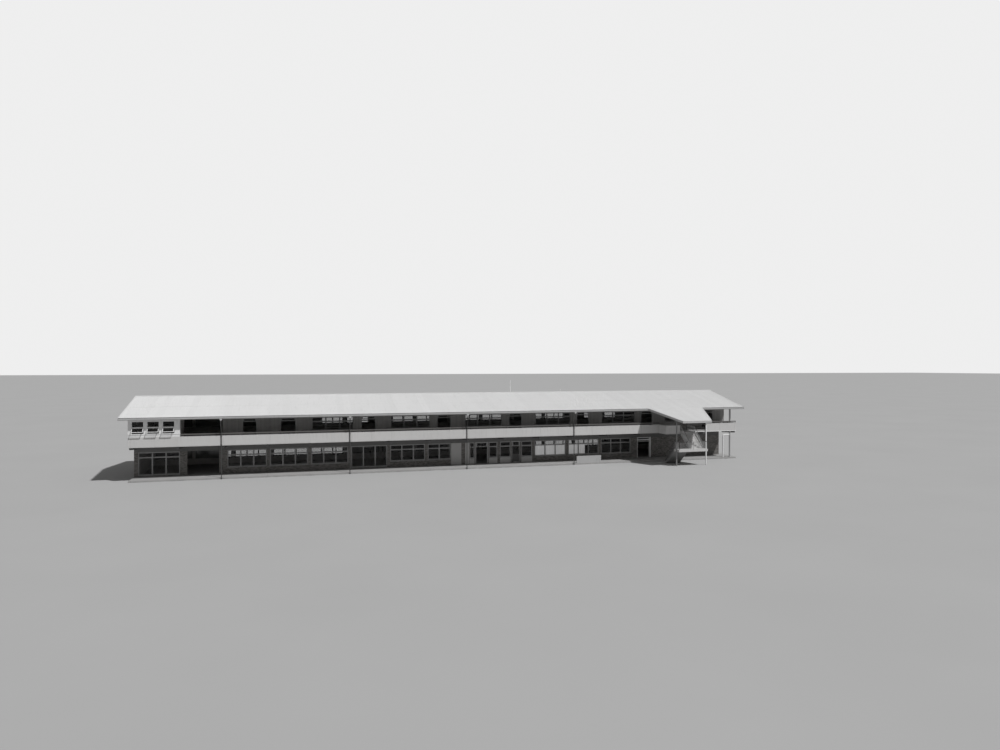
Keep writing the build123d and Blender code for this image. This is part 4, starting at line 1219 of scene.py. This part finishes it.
class SCHOOL_OT_stair(bpy.types.Operator):
    """Round stair rails, pale balusters and strings, tread nosings and post feet"""

    bl_idname = "school.stair"
    bl_label = "Stair"

    def execute(self, context):
        looks = context.scene.school_looks
        steel = shared("dark_steel", looks)
        (up_x0, flight_y, _), (up_x1, bridge_y, _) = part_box("stair_upper_flight")
        (low_x0, _, _), (low_x1, _, _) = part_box("stair_lower_flight")
        inset, h, rail_r, post_r, bar_r = 0.022, 0.45, 0.0105, 0.009, 0.005
        risers_up, risers_low = 10, 11
        half_floor, edge_y = (FLOOR_0 + FLOOR_1) / 2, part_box("stair_landings")[0].y + inset
        up_rise, low_rise = (FLOOR_1 - half_floor) / risers_up, half_floor / risers_low
        going = (bridge_y - flight_y) / (risers_up - 1)
        lower_foot = flight_y + (risers_low - 1) * going
        x_out, x_in, bridge_end = STAIR_RIGHT - inset, STAIR_LEFT + inset, -SLAB_Y - 2 * inset
        well_up, well_low = up_x0 + inset, low_x1 - inset
        lift, corner, post_out, post_down = np.array([0.0, 0.0, h]), 0.05, 0.02, 0.03
        route = [(x_out, -SLAB_Y - inset, FLOOR_1), (x_out, bridge_y, FLOOR_1), (x_out, flight_y, half_floor),
                 (x_out, edge_y, half_floor), (x_in, edge_y, half_floor), (x_in, flight_y, half_floor),
                 (x_in, lower_foot, low_rise)]
        parts = [sweep(circle(rail_r, 14), bend(np.array(route) + lift, corner), Z_WAY)]
        for a, b in (((well_up, flight_y, half_floor), (well_up, bridge_y, FLOOR_1)),
                     ((well_low, flight_y, half_floor), (well_low, lower_foot, low_rise))):
            parts.append(bars(a + lift, b + lift, rail_r, 14))
        tall = [(x_out, bridge_end, FLOOR_1), (x_out, bridge_y - post_out, FLOOR_1)]
        tall += [(x, edge_y, half_floor) for x in (x_out, STAIR_X, x_in)]
        tall += [(x, flight_y - post_down, half_floor) for x in (x_out, x_in)]
        parts += [bars(tall, tall + lift, post_r), spun(BASE_PLATE, tall)]
        piece("round_stair_rails", parts, steel, replaces=("stair_handrails",), smooth=True)

        pale, shade_dark_bars = [], []
        under = h - rail_r
        for risers, rise, end_z, sign, sides, into in (
                (risers_up, up_rise, FLOOR_1, 1, (x_out, well_up), pale),
                (risers_low, low_rise, low_rise, -1, (x_in, well_low), shade_dark_bars)):
            n, run = 2 * (risers - 1), (risers - 1) * going
            y = flight_y + (np.arange(n) + 0.5) * going / 2
            tread = half_floor + sign * (np.arange(n) // 2 + 1) * rise
            rail = half_floor + (y - flight_y) * (end_z - half_floor) / run + under
            into += [uprights(x, y, tread, rail, bar_r, 8) for x in sides]
        rows_of_bars = [(np.linspace(x_in, x_out, 26)[1:-1], edge_y, half_floor)]
        rows_of_bars += [(x, np.linspace(edge_y, flight_y, 10)[1:-1], half_floor) for x in (x_in, x_out)]
        rows_of_bars.append((x_out, np.linspace(bridge_y, bridge_end, 12)[1:-1], FLOOR_1))
        pale += [uprights(x, y, z, z + under, bar_r, 8) for x, y, z in rows_of_bars]
        section, lean, off, short = rounded(0.012, 0.11, 0.003), 0.075, 0.0065, 0.01
        for x in (up_x1 + off, up_x0 - off):
            pale.append(sweep(section, [(x, flight_y + short, half_floor + lean),
                                        (x, bridge_y - short, FLOOR_1 + lean - up_rise / 2)], Z_WAY))
        for x in (low_x0 - off, low_x1 + off):
            shade_dark_bars.append(sweep(section, [(x, flight_y + short, half_floor + lean - low_rise / 2),
                                         (x, lower_foot - short, low_rise + lean)], Z_WAY))
        # Painted shade: the lower flight's balusters and strings are dark, where the upper flight's are pale
        piece("lower_balusters", shade_dark_bars, painted("lower_baluster_painted_shade_finish", 0.14, 0.5))
        piece("stair_balusters", pale, painted("baluster_paint_finish", 0.62, 0.45, chips=0.2))

        side_gap, nose, over, nosing_h, proud = 0.03, 0.022, 0.003, 0.01, 0.0015
        up, low = np.arange(1, risers_up), np.arange(1, risers_low)
        y, z = flight_y + (up - 1) * going, half_floor + up * up_rise
        parts = [spans((up_x0 + side_gap, up_x1 - side_gap), (y - over, y + nose),
                       (z - nosing_h, z + proud), HAIR)]
        y, z = lower_foot - (low - 1) * going, low * low_rise
        parts.append(spans((low_x0 + side_gap, low_x1 - side_gap), (y - nose, y + over),
                           (z - nosing_h, z + proud), HAIR))
        piece("stair_nosings", parts, concrete("nosing_finish", 0.5))

        plate, grow, bolt_at = 0.006, np.array([0.02, 0.02, 0.0]), 0.04
        bolt = [(0.007, 0), (0.007, 0.005), (0.003, 0.007), (0.003, 0.012)]
        plates = []
        for lo, hi in zip(*boxes_of("stair_posts")):
            plates.append(blocks(lo - grow, np.append(hi[:2], lo[2] + plate) + grow, HAIR))
            x, y = (lo + hi)[:2] / 2
            places = [(x + i * bolt_at, y + j * bolt_at, plate) for i in (-1, 1) for j in (-1, 1)]
            plates.append(spun(bolt, places, 6))
        piece("post_feet", plates, steel)
        paint(post_finish(looks), "stair_posts")
        return {"FINISHED"}


class SCHOOL_OT_pipes(bpy.types.Operator):
    """Collars of the end columns, the waste pipe with its sockets, and vent cowls"""

    bl_idname = "school.pipes"
    bl_label = "Columns, waste pipe and vents"

    def execute(self, context):
        looks = context.scene.school_looks
        white = shared("white_paint", looks)
        low, high = boxes_of("end_columns")
        x, y = (low + high)[:, :2].T / 2
        r = (high - low)[0, 0] / 2
        wide, mid, tight = r + 0.018, r + 0.006, r + HAIR
        base = spun([(wide, 0), (wide, 0.02), (mid, 0.034), (tight, 0.05)], spots(x, y, low[:, 2]), 32)
        cap = spun([(tight, -0.05), (mid, -0.03), (wide, -0.016), (wide, 0)], spots(x, y, high[:, 2]), 32)
        piece("column_collars", [base, cap], shared("pale_render", looks), smooth=True)

        lo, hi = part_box("waste_pipe")
        column_x, y, radius, axis, corner = x[0] - r, y[0], 0.043, 0.045, 0.11
        mid_socket, top_socket, flange, flange_in, flange_out = 0.62, 0.2, 0.006, 0.05, 0.004
        x, z = lo.x + axis, hi.z - axis
        route = [(x, y, FLOOR_0), (x, y, z), (column_x, y, z)]
        socket = [(radius, 0), (radius + 0.007, 0.004), (radius + 0.007, 0.05), (radius, 0.054)]
        parts = [sweep(circle(radius, 20), bend(route, corner, 8), Y_WAY),
                 spun(socket, spots(x, y, [FLOOR_0, FLOOR_0 + mid_socket, z - top_socket]), 24),
                 bars((column_x - flange_in, y, z), (column_x + flange_out, y, z), radius + flange, 24)]
        piece("round_waste_pipe", parts, white, replaces=("waste_pipe",), smooth=True)

        cowl = [(0.023, -0.07), (0.034, -0.045), (0.034, -0.02), (0.03, -0.02), (0.03, -0.004), (0.012, 0.0)]
        skirt = [(0.05, -0.012), (0.05, 0.004), (0.03, 0.012), (0.024, 0.05)]
        parts = []
        for lo, hi in zip(*boxes_of("roof_vent_pipes")):
            x, y = (lo[:2] + hi[:2]) / 2
            parts.append(spun(cowl, (x, y, hi[2]), 20))
            parts.append(spun(skirt, (x, y, RIDGE_Z - ROOF_SLOPE * y), 20))
        piece("vent_cowls", parts, white, smooth=True)
        paint(white, "roof_vent_pipes")
        return {"FINISHED"}


class SCHOOL_OT_slabs(bpy.types.Operator):
    """Finishes of slabs, beams and flights, and the cover strips of the ceiling"""

    bl_idname = "school.slabs"
    bl_label = "Slabs and ceiling"

    def execute(self, context):
        paint(concrete("floor_concrete_finish", 0.36, joint=BAY), "ground_slab", "upper_slab")
        # Painted shade: the cantilever beams are near black, so their sunlit ends look as dark as the shade
        # under the slab
        paint(painted("beam_painted_shade_finish", 0.1, 0.7), "cantilever_beams")
        # Painted shade: the lower flight gets dark concrete, the upper flight and landings pale concrete
        paint(concrete("lower_flight_painted_shade_finish", 0.24), "stair_lower_flight")
        paint(concrete("landing_concrete_finish", 0.56), "stair_upper_flight", "stair_landings")
        paint(board_finish("ceiling_board_finish", 0.5, BAY / 4, 0.06), "ceiling")
        half, drop, end_gap, edge_gap = 0.012, 0.004, 0.08, 0.01
        x = np.clip(bay_x(np.arange(0, BAYS + 0.5, 0.5)), LEFT + end_gap, RIGHT - end_gap)
        across, along = (CEILING - drop, CEILING), (CEILING - drop - EDGE, CEILING)
        lines = (WALL_Y + 0.008, (WALL_Y + CEILING_Y) / 2, CEILING_Y - 0.026)
        parts = [spans(around(x, half), sided(side, WALL_Y + edge_gap, CEILING_Y - edge_gap), across, HAIR)
                 for side in (-1, 1)]
        parts += [spans((LEFT, RIGHT), sided(side, y, y + 2 * half), along, HAIR)
                  for side in (-1, 1) for y in lines]
        piece("ceiling_strips", parts, board_finish("ceiling_strip_finish", 0.54, 0.6, 0.06))
        return {"FINISHED"}


class SCHOOL_OT_stage(bpy.types.Operator):
    """Pale floor, soft light and the camera at the photograph's angle"""

    bl_idname = "school.stage"
    bl_label = "Stage"

    def execute(self, context):
        scene, reach = context.scene, 600.0
        mesh = bpy.data.meshes.new("floor")
        corners = [(-reach, -reach, 0), (reach, -reach, 0), (reach, reach, 0), (-reach, reach, 0)]
        mesh.from_pydata(corners, [], [(0, 1, 2, 3)])
        floor = add("floor", mesh)
        ground = Finish("floor_finish", Roughness=0.9)
        ground.set(Base_Color=ground.mix(ground.noise(0.15, 3.0), grey(0.42), grey(0.46)))
        mesh.materials.append(ground.material)

        scene.world = bpy.data.worlds.new("studio")
        scene.world.use_nodes = True
        tree = scene.world.node_tree
        path, fill = tree.nodes.new("ShaderNodeLightPath"), tree.nodes.new("ShaderNodeMix")
        fill.data_type = "RGBA"
        fill_level, back_level = 0.2, 0.86
        fill.inputs[6].default_value = (*grey(fill_level), 1)
        fill.inputs[7].default_value = (*grey(back_level), 1)
        tree.links.new(path.outputs["Is Camera Ray"], fill.inputs[0])
        tree.links.new(fill.outputs[2], tree.nodes["Background"].inputs["Color"])

        sun = bpy.data.lights.new("key", "SUN")
        sun.energy, sun.angle = 2.9, math.radians(2)
        key_tilt, key_turn = math.radians(37), math.radians(41.6)
        key = add("key", sun)
        key.rotation_euler = (key_tilt, 0, key_turn)

        camera = add("camera", bpy.data.cameras.new("camera"))
        focal_px, image_w, axis_px, middle_px, sensor_mm = 765.2, 1000.0, 544.0, 500.0, 36.0
        camera.data.sensor_width = sensor_mm
        camera.data.lens = focal_px * sensor_mm / image_w
        camera.data.shift_x, camera.data.shift_y = (middle_px - axis_px) / image_w, -1 / image_w
        camera.data.clip_end = 2000.0
        tilt, turn = -0.543, -17.49
        camera.location = (-9.51, -49.565, 6.185)
        camera.rotation_euler = (math.radians(90 + tilt), 0, math.radians(turn))
        scene.camera = camera
        scene.view_settings.view_transform = "Standard"
        return {"FINISHED"}


class SCHOOL_PT_panel(bpy.types.Panel):
    """Lists the pieces"""

    bl_idname = "SCHOOL_PT_panel"
    bl_label = "School building"
    bl_space_type = "VIEW_3D"
    bl_region_type = "UI"
    bl_category = "School"

    def draw(self, context):
        for operator in OPERATORS:
            self.layout.operator(operator.bl_idname)


OPERATORS = (
    SCHOOL_OT_roof, SCHOOL_OT_ridge, SCHOOL_OT_gutters, SCHOOL_OT_band, SCHOOL_OT_rails, SCHOOL_OT_walls,
    SCHOOL_OT_windows, SCHOOL_OT_corner, SCHOOL_OT_doors, SCHOOL_OT_stair, SCHOOL_OT_pipes, SCHOOL_OT_slabs,
    SCHOOL_OT_stage)
CLASSES = (SchoolLooks, *OPERATORS, SCHOOL_PT_panel)


def register():
    for cls in CLASSES:
        bpy.utils.register_class(cls)
    bpy.types.Scene.school_looks = PointerProperty(type=SchoolLooks)


def unregister():
    del bpy.types.Scene.school_looks
    for cls in reversed(CLASSES):
        bpy.utils.unregister_class(cls)


def main():
    register()
    bpy.ops.school.roof()
    bpy.ops.school.ridge()
    bpy.ops.school.gutters()
    bpy.ops.school.band()
    bpy.ops.school.rails()
    bpy.ops.school.walls()
    bpy.ops.school.windows()
    bpy.ops.school.corner()
    bpy.ops.school.doors()
    bpy.ops.school.stair()
    bpy.ops.school.pipes()
    bpy.ops.school.slabs()
    bpy.ops.school.stage()


if __name__ == "__main__":
    main()
